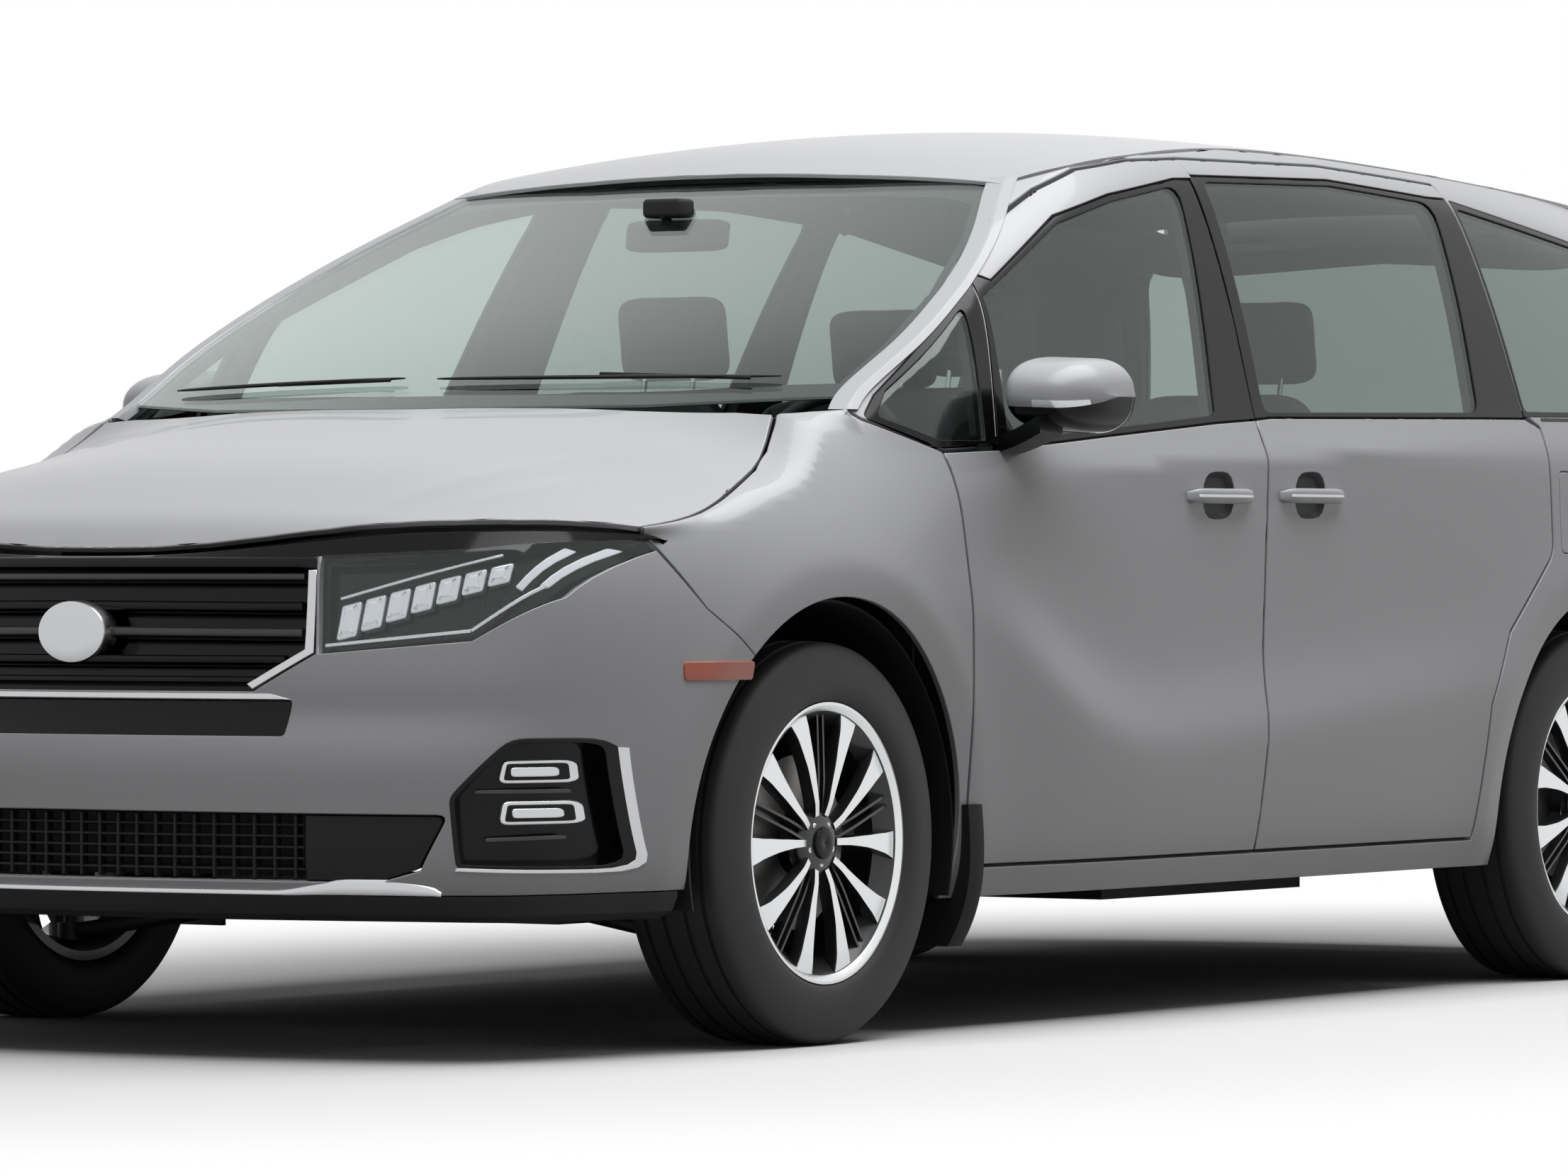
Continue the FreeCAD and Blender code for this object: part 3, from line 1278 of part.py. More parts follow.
dash_profile = [
    (262, 1090.3), (262, 1112), (400, 1165), (700, 1135), (760, 1060), (730, 900), (600, 800),
    (505, 800), (505, 1090.3),
]
dashboard = from_side(dash_profile, -800, 800)
dashboard = dashboard.cut(Part.makeCylinder(
    24.3, 160, Vector(370, along(740), 985), Vector(0, along(880) - along(740), 45),
))
piece("dashboard", dashboard)

column = rod("column", Vector(370, along(740), 985), Vector(370, along(880), 1030), 24)
wheel_centre = Vector(370, along(900), 1036)
RING = dim("wheel_rim_radius")
ring = turned(
    "steering_ring",
    [(-7, RING + 14), (7, RING + 14), (14, RING), (7, RING - 14), (-7, RING - 14), (-14, RING)],
)[0]
ring.Placement = Placement(wheel_centre, Rotation(Vector(0, 0, 1), 90) * Rotation(Vector(0, 1, 0), -18))
spokes = box(
    "steering_spokes", 370 - dim("wheel_rim_radius"), 370 + dim("wheel_rim_radius"), FA + 880,
    FA + 905, 1020, 1052,
)
fused("steering_wheel", ring, column, spokes)

mirror_line = [(968, 1128, 20), (1150, 1128, 30), (1158, 1240, 50), (1000, 1268, 30), (968, 1220, 20)]
mirror_shape = from_front(mirror_line, 560, 735)
foot = from_front([(930, 1098), (1040, 1098), (1060, 1135), (985, 1135)], 600, 660)
mirror_shape = joined(mirror_shape, foot)
mirror_shape = mirror_shape.cut(front_door)
piece("mirror_left", mirror_shape)
piece("mirror_right", mirrored(mirror_shape))

liner = Part.makeCylinder(ARCH - 4, 430, at(520, 0, HUB_Z), Vector(1, 0, 0))
liner = liner.cut(Part.makeCylinder(ARCH - 9, 430, at(520, 0, HUB_Z), Vector(1, 0, 0)))
liner = liner.common(from_side([(-520, 260), (-520, 900), (520, 900), (520, 260)]))
liner = liner.cut(Part.makeBox(220, 240, 300, at(510, -100, 700)))
rear_liner = Part.makeCylinder(ARCH - 4, 230, at(712, STYLED_WHEELBASE, HUB_Z), Vector(1, 0, 0))
rear_liner = rear_liner.cut(Part.makeCylinder(
    ARCH - 9, 230, at(712, STYLED_WHEELBASE, HUB_Z), Vector(1, 0, 0),
))
rear_liner = rear_liner.common(from_side([(2400, 300), (2400, 900), (3520, 900), (3520, 300)]))
piece("wheel_liners", both(Part.makeCompound([liner, rear_liner])))

cowl_line = [(0, 10), (250, 20), (500, 54), (700, 94), (800, 130), (820, 250), (0, 110)]
cowl = from_above(cowl_line, 1090.3, 1150)
cowl = joined(cowl, mirrored(cowl))
for x in (694, -742):
    cowl = cowl.cut(Part.makeBox(48, 120, 200, at(x, 50, 1080)))
piece("cowl", cowl)

doc.recompute()
for item in parts:
    if "Invalid" in item.State or "Error" in item.State:
        raise RuntimeError(item.Label + " failed to build")
for item in doc.Objects:
    if "Invalid" in item.State or "Error" in item.State:
        raise RuntimeError(item.Name + " failed to build")
for item in parts:
    if item.Shape.isNull() or not item.Shape.isValid():
        raise RuntimeError(item.Label + " has no valid shape")
os.makedirs("parts", exist_ok=True)
for item in parts:
    item.Shape.exportStep("parts/%s.step" % item.Label)
print(len(parts), "parts")
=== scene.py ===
# %% [markdown]
# # A minivan with sliding doors
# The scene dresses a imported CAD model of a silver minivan. Every panel lies on a smooth surface that a
# formula gives, so the first cells write those formulas down, and the later ones cut panels out of them.

import bpy
import numpy as np
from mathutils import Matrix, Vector
from mathutils.geometry import delaunay_2d_cdt


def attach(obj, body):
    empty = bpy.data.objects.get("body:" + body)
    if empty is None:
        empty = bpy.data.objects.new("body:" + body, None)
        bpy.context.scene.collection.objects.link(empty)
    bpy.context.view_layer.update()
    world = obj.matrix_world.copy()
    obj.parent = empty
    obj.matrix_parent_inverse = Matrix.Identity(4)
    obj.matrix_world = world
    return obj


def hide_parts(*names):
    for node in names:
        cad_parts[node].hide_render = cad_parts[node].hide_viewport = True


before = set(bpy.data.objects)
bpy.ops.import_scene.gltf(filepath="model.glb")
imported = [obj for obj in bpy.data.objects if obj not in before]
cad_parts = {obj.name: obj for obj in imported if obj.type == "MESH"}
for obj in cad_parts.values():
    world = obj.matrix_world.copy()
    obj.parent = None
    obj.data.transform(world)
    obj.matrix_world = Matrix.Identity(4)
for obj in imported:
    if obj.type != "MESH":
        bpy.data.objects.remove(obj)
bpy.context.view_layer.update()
print("nodes", len(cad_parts))

# %% [markdown]
# ## Curves
# A car's lines are long and smooth. A few measured points and the natural cubic spline through them give
# such a line, and it can be read anywhere. Stations y are millimetres behind the front axle, z is the
# height above the ground.

# %% Curves and stations
FRONT_AXLE = -1561.0  # its Y in the frame
WHEELBASE = 3000.0
HUB_Z = 370.0
ARCH = 450.0  # radius of a wheel opening
WIDE = 992.0  # half width over the doors


def curve(*points):
    """The natural cubic spline through the points, straight beyond both ends."""
    xs, ys = np.array(points, float).T
    n = len(xs)
    h = np.diff(xs)
    bend = np.zeros(n)
    if n > 2:
        system = np.diag(2 * (h[:-1] + h[1:])) + np.diag(h[1:-1], 1) + np.diag(h[1:-1], -1)
        bend[1:-1] = np.linalg.solve(system, 6 * np.diff(np.diff(ys) / h))
    first = (ys[1] - ys[0]) / h[0] - h[0] * bend[1] / 6
    last = (ys[-1] - ys[-2]) / h[-1] + h[-1] * bend[-2] / 6

    def value(t):
        t = np.asarray(t, float)
        i = np.clip(np.searchsorted(xs, t) - 1, 0, n - 2)
        inside = np.clip(t, xs[0], xs[-1])
        a = xs[i + 1] - inside
        c = inside - xs[i]
        v = (bend[i] * a ** 3 + bend[i + 1] * c ** 3) / 6 / h[i]
        v = v + (ys[i] / h[i] - bend[i] * h[i] / 6) * a + (ys[i + 1] / h[i] - bend[i + 1] * h[i] / 6) * c
        return v + np.minimum(t - xs[0], 0) * first + np.maximum(t - xs[-1], 0) * last

    return value


def fold(t, r):
    """0 below and t above, rounded over r: half of t plus the root of t squared plus r squared."""
    return (t + np.sqrt(t * t + np.square(r))) / 2


def placed(points):
    """Stations in millimetres as places in the frame, in metres."""
    return (np.asarray(points, float) + (0, FRONT_AXLE, 0)) / 1000


# %% [markdown]
# ## The body side
# A door is flat to the eye but never flat: it tumbles inwards over the belt, folds along a shoulder, and
# carries a wave that sinks behind the front wheel. One formula holds all of it. Going up, the slope
# changes at each fold.

# %% Body side
inset_of_side = curve(
    (-900, 87), (-450, 34), (0, 12), (450, 6), (1000, 2), (1600, 0), (2700, 0),
    (3100, 4), (3600, 20), (4000, 47), (4200, 67))
shoulder_z = curve(
    (-900, 880), (-450, 880), (0, 895), (250, 940), (450, 1030), (650, 1052),
    (959, 1066), (1600, 1090), (2181, 1107), (3000, 1110), (4100, 1095))
shoulder_slope = curve((-900, -0.60), (0, -0.55), (300, -0.48), (600, -0.43), (1500, -0.42), (4100, -0.36))
shoulder_round = curve((-900, 150), (0, 130), (300, 90), (600, 45), (3000, 45), (4100, 50))
belt_z = curve(
    (200, 1100), (389, 1088), (620, 1110), (1133, 1150), (1629, 1172),
    (2500, 1187), (2941, 1189), (3600, 1192), (4100, 1195))
wave_z = curve(
    (200, 830), (521, 768), (725, 659), (1014, 548), (1300, 545), (1600, 563), (2476, 632), (2900, 665))
wave_depth = curve(
    (150, 0), (420, 0.35), (725, 1), (1014, 1.1), (1600, 0.9), (2300, 0.6), (2650, 0.25), (2900, 0))
cant_z = curve(
    (60, 1150), (240, 1178), (310, 1213), (779, 1455), (1090, 1583), (1520, 1665),
    (1962, 1686), (2589, 1668), (3263, 1588), (3900, 1480))
cant_slope = curve((240, -1.8), (779, -2.2), (1050, -3.0), (1283, -2.1), (1700, -1.5), (3900, -1.5))


SILL_SLOPE = 0.45  # how far the side runs outwards for each millimetre upwards, below its first fold


def profile(folds, z):
    """Offset at height z: the sill's slope, which becomes each fold's own slope above that fold."""
    slope = SILL_SLOPE
    x = slope * (z - folds[0][0])
    for line, after, r in folds:
        x = x + (after - slope) * fold(z - line, r)
        slope = after
    return x


BULGE = 20.0  # how far the lip of a wheel opening stands out
BULGE_RUN = 110.0  # distance over which it falls to about a third
LIP = 65.0  # width of the flat band round the opening


def side_x(y, z):
    """Half width of the body at a station and height, with the two bulges round the wheel openings."""
    y, z = np.broadcast_arrays(np.asarray(y, float), np.asarray(z, float))
    w = np.clip(y, 200, 2900)
    depth = np.clip(wave_depth(w), 0, 1.1)
    cant = cant_z(y)
    belt = belt_z(y)
    folds = [
        (315.0, 0.10, 40.0), (wave_z(w), 0.10 - 0.36 * depth, 40.0), (wave_z(w) + 120, 0.02, 60.0),
        (shoulder_z(y), shoulder_slope(y), shoulder_round(y)), (belt + 5, -0.30, 30.0),
        (np.maximum(cant - 240, belt + 25), -0.33 - 0.0004 * np.maximum(cant - 1400, 0), 150.0),
        (cant, cant_slope(y), 45.0),
    ]
    x = WIDE - inset_of_side(y) + profile(folds, z) - profile(folds, 900.0)
    for wheel_y in (0.0, WHEELBASE):
        r = np.hypot(y - wheel_y, z - HUB_Z) - ARCH - LIP
        outside = fold(r, 20)
        x = x + BULGE * np.exp(-outside / BULGE_RUN) - 0.10 * (outside - r)
    return x


# %% [markdown]
# ## Round the corners
# The skin is unrolled: u runs from the middle of the nose, round the front corner, along the side and
# round the rear corner to the middle of the tail. So nose, side and tail are one surface, and a bumper
# can wrap round its corner.

# %% Nose and tail
CORNER_FRONT = -905.0
CORNER_REAR = 4010.0
CORNER_ROUND = 150.0
NOSE_HALF = 985.0
NOSE_END = CORNER_FRONT - NOSE_HALF + CORNER_ROUND ** 2 / 4 / NOSE_HALF
TAIL_END = CORNER_REAR + NOSE_HALF - CORNER_ROUND ** 2 / 4 / NOSE_HALF


def plan(u):
    """Station and share of the half width at u, and how far u is past each corner, as negative numbers."""
    front = u - CORNER_FRONT
    rear = CORNER_REAR - u
    a = (front - np.hypot(front, CORNER_ROUND)) / 2
    b = (rear - np.hypot(rear, CORNER_ROUND)) / 2
    return u - a + b, (1 + a / NOSE_HALF) * (1 + b / NOSE_HALF), a, b


FRONT_OVERHANG = 1045.0
REAR_OVERHANG = 1167.0
BOW_FRONT = FRONT_OVERHANG + plan(NOSE_END)[0]
BOW_REAR = REAR_OVERHANG + WHEELBASE - plan(TAIL_END)[0]
nose_recess = curve(
    (200, 60), (235, 40), (300, 6), (330, 0), (450, 0), (560, 10), (620, 28),
    (650, 30), (760, 50), (850, 68), (903, 85), (960, 140), (1200, 400))
tail_recess = curve(
    (200, 60), (260, 20), (330, 2), (450, 0), (600, 2), (680, 30), (760, 52), (1000, 70),
    (1130, 95), (1200, 125), (1400, 215), (1600, 320), (1700, 380))
RECESS_RUN = 90.0  # how far past a corner the recess has come to about two thirds of its depth
ACROSS_MIDDLE = plan(WHEELBASE / 2)[1]
STILL = 2.6  # how far past a corner the doors still count, so that the two recesses end before they meet


def skin(u, z):
    """A point of the body at u and height z, bowed and leaning back over its nose and tail."""
    u, z = np.broadcast_arrays(np.asarray(u, float), np.asarray(z, float))
    y, across, a, b = plan(u)
    x = side_x(np.clip(y, CORNER_FRONT, CORNER_REAR), z) * across
    bow = np.maximum(1 - (across / ACROSS_MIDDLE) ** 2, 0)
    front = y + (1 - np.exp(np.minimum(a + STILL, 0) / RECESS_RUN)) * nose_recess(z) - BOW_FRONT * bow
    rear = y - (1 - np.exp(np.minimum(b + STILL, 0) / RECESS_RUN)) * tail_recess(z) + BOW_REAR * bow
    return np.stack([x, np.where(u < WHEELBASE / 2, front, rear), z], -1)


def nose(s, z):
    """The skin over the whole nose, s being its length from the centre plane, positive to the left."""
    p = skin(NOSE_END + np.abs(s), z)
    p[..., 0] *= np.sign(s)
    return p


def tail(s, z):
    """The skin over the whole tail, s being its length from the centre plane, positive to the right."""
    p = skin(TAIL_END - np.abs(s), z)
    p[..., 0] *= -np.sign(s)
    return p


HALVINGS = 44


def found(reads, target, low, high):
    """Where a rising function reaches its target, by halving an interval again and again."""
    low = np.full(len(target), float(low))
    high = np.full(len(target), float(high))
    for _ in range(HALVINGS):
        middle = (low + high) / 2
        under = reads(middle) < target
        low = np.where(under, middle, low)
        high = np.where(under, high, middle)
    return (low + high) / 2


print("nose", skin(NOSE_END, 450.0).round(1), "tail", skin(TAIL_END, 450.0).round(1))

# %% [markdown]
# ## Roof, windshield and hood
# These three are seen from above or ahead, so each gets a formula of its own in the two directions that
# suit it.

# %% Roof, windshield and hood
roof_line = curve(
    (1045, -118), (1200, -76), (1500, -26), (1850, 0), (2200, 0), (2800, -23), (3400, -56), (3950, -96))
screen_line = curve((1150, -60), (1274, 190), (1450, 595), (1640, 1045))
hood_line = curve(
    (-950, 895), (-935, 905), (-900, 935), (-800, 985), (-600, 1050), (-300, 1115), (-50, 1165), (100, 1190))
hood_side_x = curve((-950, 900), (-560, 925), (-140, 868), (0, 820), (100, 775))
hood_side_z = curve((-950, 918), (-560, 946), (-300, 985), (-160, 1030), (0, 1090), (100, 1165))


ROOF_HEIGHT = 1775.0
ROOF_CROWN = 1.0e-4
SCREEN_FOOT = 1274.0
SCREEN_HEAD = 1613.0


def roof(x, y):
    """A point of the roof, lower towards its sides by the square of x."""
    x, y = np.broadcast_arrays(np.asarray(x, float), np.asarray(y, float))
    return np.stack([x, y, ROOF_HEIGHT + roof_line(y) - ROOF_CROWN * x * x], -1)


def screen(x, z):
    """A point of the windshield, further back towards its sides by the square of x."""
    x, z = np.broadcast_arrays(np.asarray(x, float), np.asarray(z, float))
    bow = 2.9e-4 - (z - SCREEN_FOOT) / (SCREEN_HEAD - SCREEN_FOOT) * 1.0e-4
    return np.stack([x, screen_line(z) + bow * x * x, z], -1)


def hood(x, y):
    """A point of the hood, falling to its side by the cube of the distance from the centre."""
    x, y = np.broadcast_arrays(np.asarray(x, float), np.asarray(y, float))
    part = np.abs(x) / hood_side_x(y)
    middle = hood_line(y)
    return np.stack([x, y, middle - (middle - hood_side_z(y)) * part ** 3], -1)


ROUNDS = 30  # in each of them a guess goes halfway to what the body side says there


def screen_edge(z):
    """Half width and station where the windshield meets the body side."""
    x = np.full(len(z), 750.0)
    for _ in range(ROUNDS):
        x = (x + side_x(screen(x, z)[:, 1], z)) / 2
    return x, screen(x, z)[:, 1]


def roof_edge(y):
    """Half width and height where the roof meets the body side."""
    x = np.full(len(y), 680.0)
    for _ in range(ROUNDS):
        x = (x + side_x(y, roof(x, y)[:, 2])) / 2
    return x, roof(x, y)[:, 2]


# %% [markdown]
# ## Panels
# A panel is cut out of its surface by an outline, as sheet metal is. The outline and an even grid of
# points are joined into triangles in the flat plane of the surface's two parameters, and the surface's
# formula lifts them into place. Each panel gets a rounded edge and a back, so it is a closed wall. Its
# normals come from the formula, which keeps reflections smooth however the triangles fall.

# %% Outlines
def softened(points, count=5):
    """An outline whose corners (a, b, radius) become arcs."""
    flat = np.array([p[:2] for p in points], float)
    out = []
    for i, p in enumerate(points):
        if len(p) == 2:
            out.append(flat[i][None])
            continue
        back = flat[i - 1] - flat[i]
        ahead = flat[(i + 1) % len(points)] - flat[i]
        back /= np.linalg.norm(back)
        ahead /= np.linalg.norm(ahead)
        half = np.arccos(np.clip(back @ ahead, -1, 1)) / 2
        reach = p[2] / np.tan(half)
        t = np.linspace(0, 1, count)[:, None]
        start, stop = flat[i] + back * reach, flat[i] + ahead * reach
        out.append((1 - t) ** 2 * start + 2 * t * (1 - t) * flat[i] + t ** 2 * stop)
    return np.concatenate(out)


def grown(loop, by):
    """The outline moved outwards by a distance, or inwards if that is negative."""
    before = np.roll(loop, 1, 0)
    after = np.roll(loop, -1, 0)
    area = np.sum(loop[:, 0] * after[:, 1] - loop[:, 1] * after[:, 0])
    back = loop - before
    ahead = after - loop
    back /= np.linalg.norm(back, axis=1)[:, None] + 1e-9
    ahead /= np.linalg.norm(ahead, axis=1)[:, None] + 1e-9
    run = back + ahead
    out = np.stack([run[:, 1], -run[:, 0]], 1) * np.sign(area)
    share = 1 + np.sum(back * ahead, 1)
    return loop + out * (by / np.maximum(share, 0.4))[:, None]


def fine(loop, step):
    """The outline with points no further apart than a step."""
    after = np.roll(loop, -1, 0)
    counts = np.maximum(np.ceil(np.linalg.norm(after - loop, axis=1) / step).astype(int), 1)
    which = np.repeat(np.arange(len(loop)), counts)
    first = np.repeat(np.cumsum(counts) - counts, counts)
    t = ((np.arange(counts.sum()) - first) / counts[which])[:, None]
    return loop[which] * (1 - t) + after[which] * t


def inside(points, loop):
    """Whether points lie in an outline, by counting the edges to their right."""
    x, y = points[:, 0][:, None], points[:, 1][:, None]
    a, b = loop, np.roll(loop, -1, 0)
    crosses = (a[:, 1] > y) != (b[:, 1] > y)
    rise = np.where(b[:, 1] == a[:, 1], 1e-9, b[:, 1] - a[:, 1])
    right = x < (b[:, 0] - a[:, 0]) * (y - a[:, 1]) / rise + a[:, 0]
    return (crosses & right).sum(1) % 2 == 1


def clearance(points, loop):
    """Distance from points to the nearest edge of an outline."""
    a, b = loop, np.roll(loop, -1, 0)
    run = b - a
    t = np.clip(((points[:, None] - a) * run).sum(2) / (np.square(run).sum(1) + 1e-9), 0, 1)
    return np.linalg.norm(points[:, None] - a - t[..., None] * run, axis=2).min(1)


SPACING = 20  # the furthest that an outline's points lie apart before it is brought to the skin
FRONT_REACH = 1700  # how far round from the centre plane the nose's outlines may go
BACK_REACH = 1500


def drawn(points, by):
    """An outline with its corners rounded, moved outwards, and with points close together."""
    loop = softened(points) if isinstance(points, list) else points
    return fine(grown(loop, by), SPACING)


def from_side(points, by=0.0):
    """An outline in stations and heights, brought to the skin's own u and z."""
    y, z = drawn(points, by).T
    return np.stack([found(lambda u: skin(u, z)[:, 1], y, NOSE_END + 5, TAIL_END - 5), z], 1)


def from_front(points, by=0.0):
    """An outline in x and z, brought to the nose's own s and z."""
    x, z = drawn(points, by).T
    s = found(lambda s: skin(NOSE_END + s, z)[:, 0], np.abs(x), 0, FRONT_REACH)
    return np.stack([s * np.sign(x), z], 1)


def from_back(points, by=0.0):
    """An outline in x and z, brought to the tail's own s and z; where x is positive, s is negative."""
    x, z = drawn(points, by).T
    s = found(lambda s: skin(TAIL_END - s, z)[:, 0], np.abs(x), 0, BACK_REACH)
    return np.stack([-s * np.sign(x), z], 1)


def whole(points):
    """An outline drawn for the left half, from the centre plane to the centre plane, made whole."""
    return list(points) + [(-p[0],) + tuple(p[1:]) for p in reversed(points) if p[0] > 0]


# %% Panels
CHUNK = 4000  # how many points are measured against an outline at once, which bounds the memory
CLEAR = 0.45  # the least distance from an inner point to an outline, as a share of the step


def triangulated(add, cut, step):
    """Points and triangles that fill some outlines but not others."""
    loops = [fine(loop, step) for loop in list(add) + list(cut)]
    everything = np.concatenate(loops)
    low, high = everything.min(0), everything.max(0)
    a = np.arange(low[0] + step / 2, high[0], step)
    b = np.arange(low[1] + step / 2, high[1], step)
    grid = np.stack(np.meshgrid(a, b, indexing="ij"), -1).reshape(-1, 2)
    keep = np.zeros(len(grid), bool)
    for loop in add:
        keep |= inside(grid, loop)
    for loop in cut:
        keep &= ~inside(grid, loop)
    grid = grid[keep]
    keep = np.ones(len(grid), bool)
    for loop in loops:
        for start in range(0, len(grid), CHUNK):
            chunk = slice(start, start + CHUNK)
            keep[chunk] &= clearance(grid[chunk], loop) > CLEAR * step
    points = [Vector(p) for p in np.concatenate(loops + [grid[keep]]).tolist()]
    edges = []
    start = 0
    for loop in loops:
        n = len(loop)
        edges += [(start + i, start + (i + 1) % n) for i in range(n)]
        start += n
    flat, _, faces = delaunay_2d_cdt(points, edges, [], 0, 1e-4)[:3]
    flat = np.array([tuple(p) for p in flat])
    faces = np.array(faces)
    middle = flat[faces].mean(1)
    keep = np.zeros(len(faces), bool)
    for loop in add:
        keep |= inside(middle, loop)
    for loop in cut:
        keep &= ~inside(middle, loop)
    faces = faces[keep]
    run = flat[faces[:, 1]] - flat[faces[:, 0]]
    over = flat[faces[:, 2]] - flat[faces[:, 0]]
    area = run[:, 0] * over[:, 1] - run[:, 1] * over[:, 0]
    faces[area < 0] = faces[area < 0][:, ::-1]
    faces = faces[np.abs(area) > 1e-3]
    used, faces = np.unique(faces, return_inverse=True)
    return flat[used], faces.reshape(-1, 3)


def unit(v):
    """Vectors brought to length 1."""
    return v / (np.linalg.norm(v, axis=-1, keepdims=True) + 1e-12)


def normal(surface, p):
    """The normal of a surface: the cross product of its two slopes, taken 1 mm to each side."""
    s, t = p[:, 0], p[:, 1]
    across = surface(s + 1, t) - surface(s - 1, t)
    up = surface(s, t + 1) - surface(s, t - 1)
    return unit(np.cross(across, up))


def plate(surface, add, cut=(), step=25, top=0.0, depth=10.0, edge=2.0, finish="paint"):
    """A closed wall on a surface, cut to outlines, from top down to a depth, with a rounded edge."""
    add = add if isinstance(add, list) else [add]
    flat, faces = triangulated(add, cut, step)
    count = len(flat)
    pairs = np.concatenate([faces[:, [0, 1]], faces[:, [1, 2]], faces[:, [2, 0]]])
    code = pairs[:, 0] * count + pairs[:, 1]
    rim = pairs[~np.isin(code, pairs[:, 1] * count + pairs[:, 0])]
    ring, local = np.unique(rim, return_inverse=True)
    local = local.reshape(-1, 2)
    run = unit(flat[rim[:, 1]] - flat[rim[:, 0]])
    side = np.stack([run[:, 1], -run[:, 0]], 1)
    out = np.zeros((len(ring), 2))
    np.add.at(out, local[:, 0], side)
    np.add.at(out, local[:, 1], side)
    out = unit(out)
    at = flat[ring]
    over = normal(surface, flat)
    away = unit(surface(*(at + out).T) - surface(*(at - out).T))
    lift = np.broadcast_to(top, count)[:, None] if np.isscalar(top) else top(*flat.T)[:, None]
    sink = np.broadcast_to(depth, count)[:, None] if np.isscalar(depth) else depth(*flat.T)[:, None]
    moved = flat.copy()
    moved[ring] -= out * edge
    outer = surface(*moved.T) + over * lift
    under = surface(*flat.T) - over * sink
    first = surface(*(at - out * edge * 0.3).T) + over[ring] * (lift[ring] - edge * 0.3)
    second = surface(*at.T) + over[ring] * (lift[ring] - edge)
    verts = np.concatenate([outer, first, second, under])
    size = len(ring)
    slant = unit(over[ring] + away)
    a, b = local[:, 0], local[:, 1]
    rows = [(ring, over[ring]), (count + np.arange(size), slant), (count + size + np.arange(size), away),
            (count + 2 * size + ring, away)]
    tris = [faces]
    normals = [over[faces]]
    for (upper, upper_n), (lower, lower_n) in zip(rows, rows[1:]):
        tris += [np.stack([upper[b], upper[a], lower[a]], 1), np.stack([upper[b], lower[a], lower[b]], 1)]
        normals += [
            np.stack([upper_n[b], upper_n[a], lower_n[a]], 1),
            np.stack([upper_n[b], lower_n[a], lower_n[b]], 1),
        ]
    tris.append(count + 2 * size + faces[:, ::-1])
    normals.append(-over[faces[:, ::-1]])
    return {
        "verts": verts, "tris": np.concatenate(tris), "normals": np.concatenate(normals), "finish": finish}


def plain(verts, tris, finish):
    """A part whose normals Blender works out."""
    return {"verts": np.asarray(verts, float), "tris": np.asarray(tris), "normals": None, "finish": finish}


def lattice(points, finish, round_a=False, round_b=False, caps=False):
    """A part from a grid of points (a, b); both directions may close, and caps close open rows."""
    na, nb = points.shape[:2]
    index = np.arange(na * nb).reshape(na, nb)
    rows = np.concatenate([index, index[:1]]) if round_a else index
    rows = np.concatenate([rows, rows[:, :1]], 1) if round_b else rows
    p, q, r, s = rows[:-1, :-1], rows[1:, :-1], rows[1:, 1:], rows[:-1, 1:]
    tris = np.concatenate([np.stack([p, q, r], -1).reshape(-1, 3), np.stack([p, r, s], -1).reshape(-1, 3)])
    verts = points.reshape(-1, 3)
    if caps:
        ends = np.stack([points[0].mean(0), points[-1].mean(0)])
        count = rows.shape[1] - 1
        low = np.stack([rows[0, :-1], rows[0, 1:], np.full(count, na * nb)], 1)
        high = np.stack([rows[-1, 1:], rows[-1, :-1], np.full(count, na * nb + 1)], 1)
        verts = np.concatenate([verts, ends])
        tris = np.concatenate([tris, low, high])
    return plain(verts, tris, finish)


def block(x, y, z, finish, soft=3.0):
    """A box between three pairs of values, with rounded edges: a ball's points pushed out to its corners."""
    a = np.linspace(-np.pi / 2, np.pi / 2, 14)
    b = np.arange(24) / 24 * 2 * np.pi + np.pi / 24
    ball = np.stack([
        np.cos(a)[:, None] * np.cos(b), np.cos(a)[:, None] * np.sin(b), np.sin(a)[:, None] + 0 * b], -1)
    low = np.array([min(x), min(y), min(z)], float)
    high = np.array([max(x), max(y), max(z)], float)
    core = (high - low) / 2 - soft
    points = (low + high) / 2 + np.sign(ball) * core + ball * soft
    return lattice(points[:, ::-1], finish, round_b=True, caps=True)


def mirrored(part):
    """The right-hand copy of a part."""
    verts = part["verts"] * (-1, 1, 1)
    normals = part["normals"]
    if normals is not None:
        normals = normals[:, ::-1] * (-1, 1, 1)
    return {"verts": verts, "tris": part["tris"][:, ::-1], "normals": normals, "finish": part["finish"]}


def both(parts):
    """Parts with their right-hand copies."""
    return list(parts) + [mirrored(p) for p in parts]


# %% [markdown]
# ## From arrays to pieces
# A piece joins its parts' arrays into one mesh, with one material slot for each finish. Panels bring
# their own normals; the other parts are shaded smooth up to sharp corners, which Blender finds from the
# angle.

# %% Pieces
materials = {}


def outward(part):
    """A closed part with its faces turned outwards, told by the sign of its volume."""
    if part["normals"] is None:
        corners = (part["verts"] - part["verts"].mean(0))[part["tris"]]
        if np.sum(np.cross(corners[:, 0], corners[:, 1]) * corners[:, 2]) < 0:
            return dict(part, tris=part["tris"][:, ::-1])
    return part


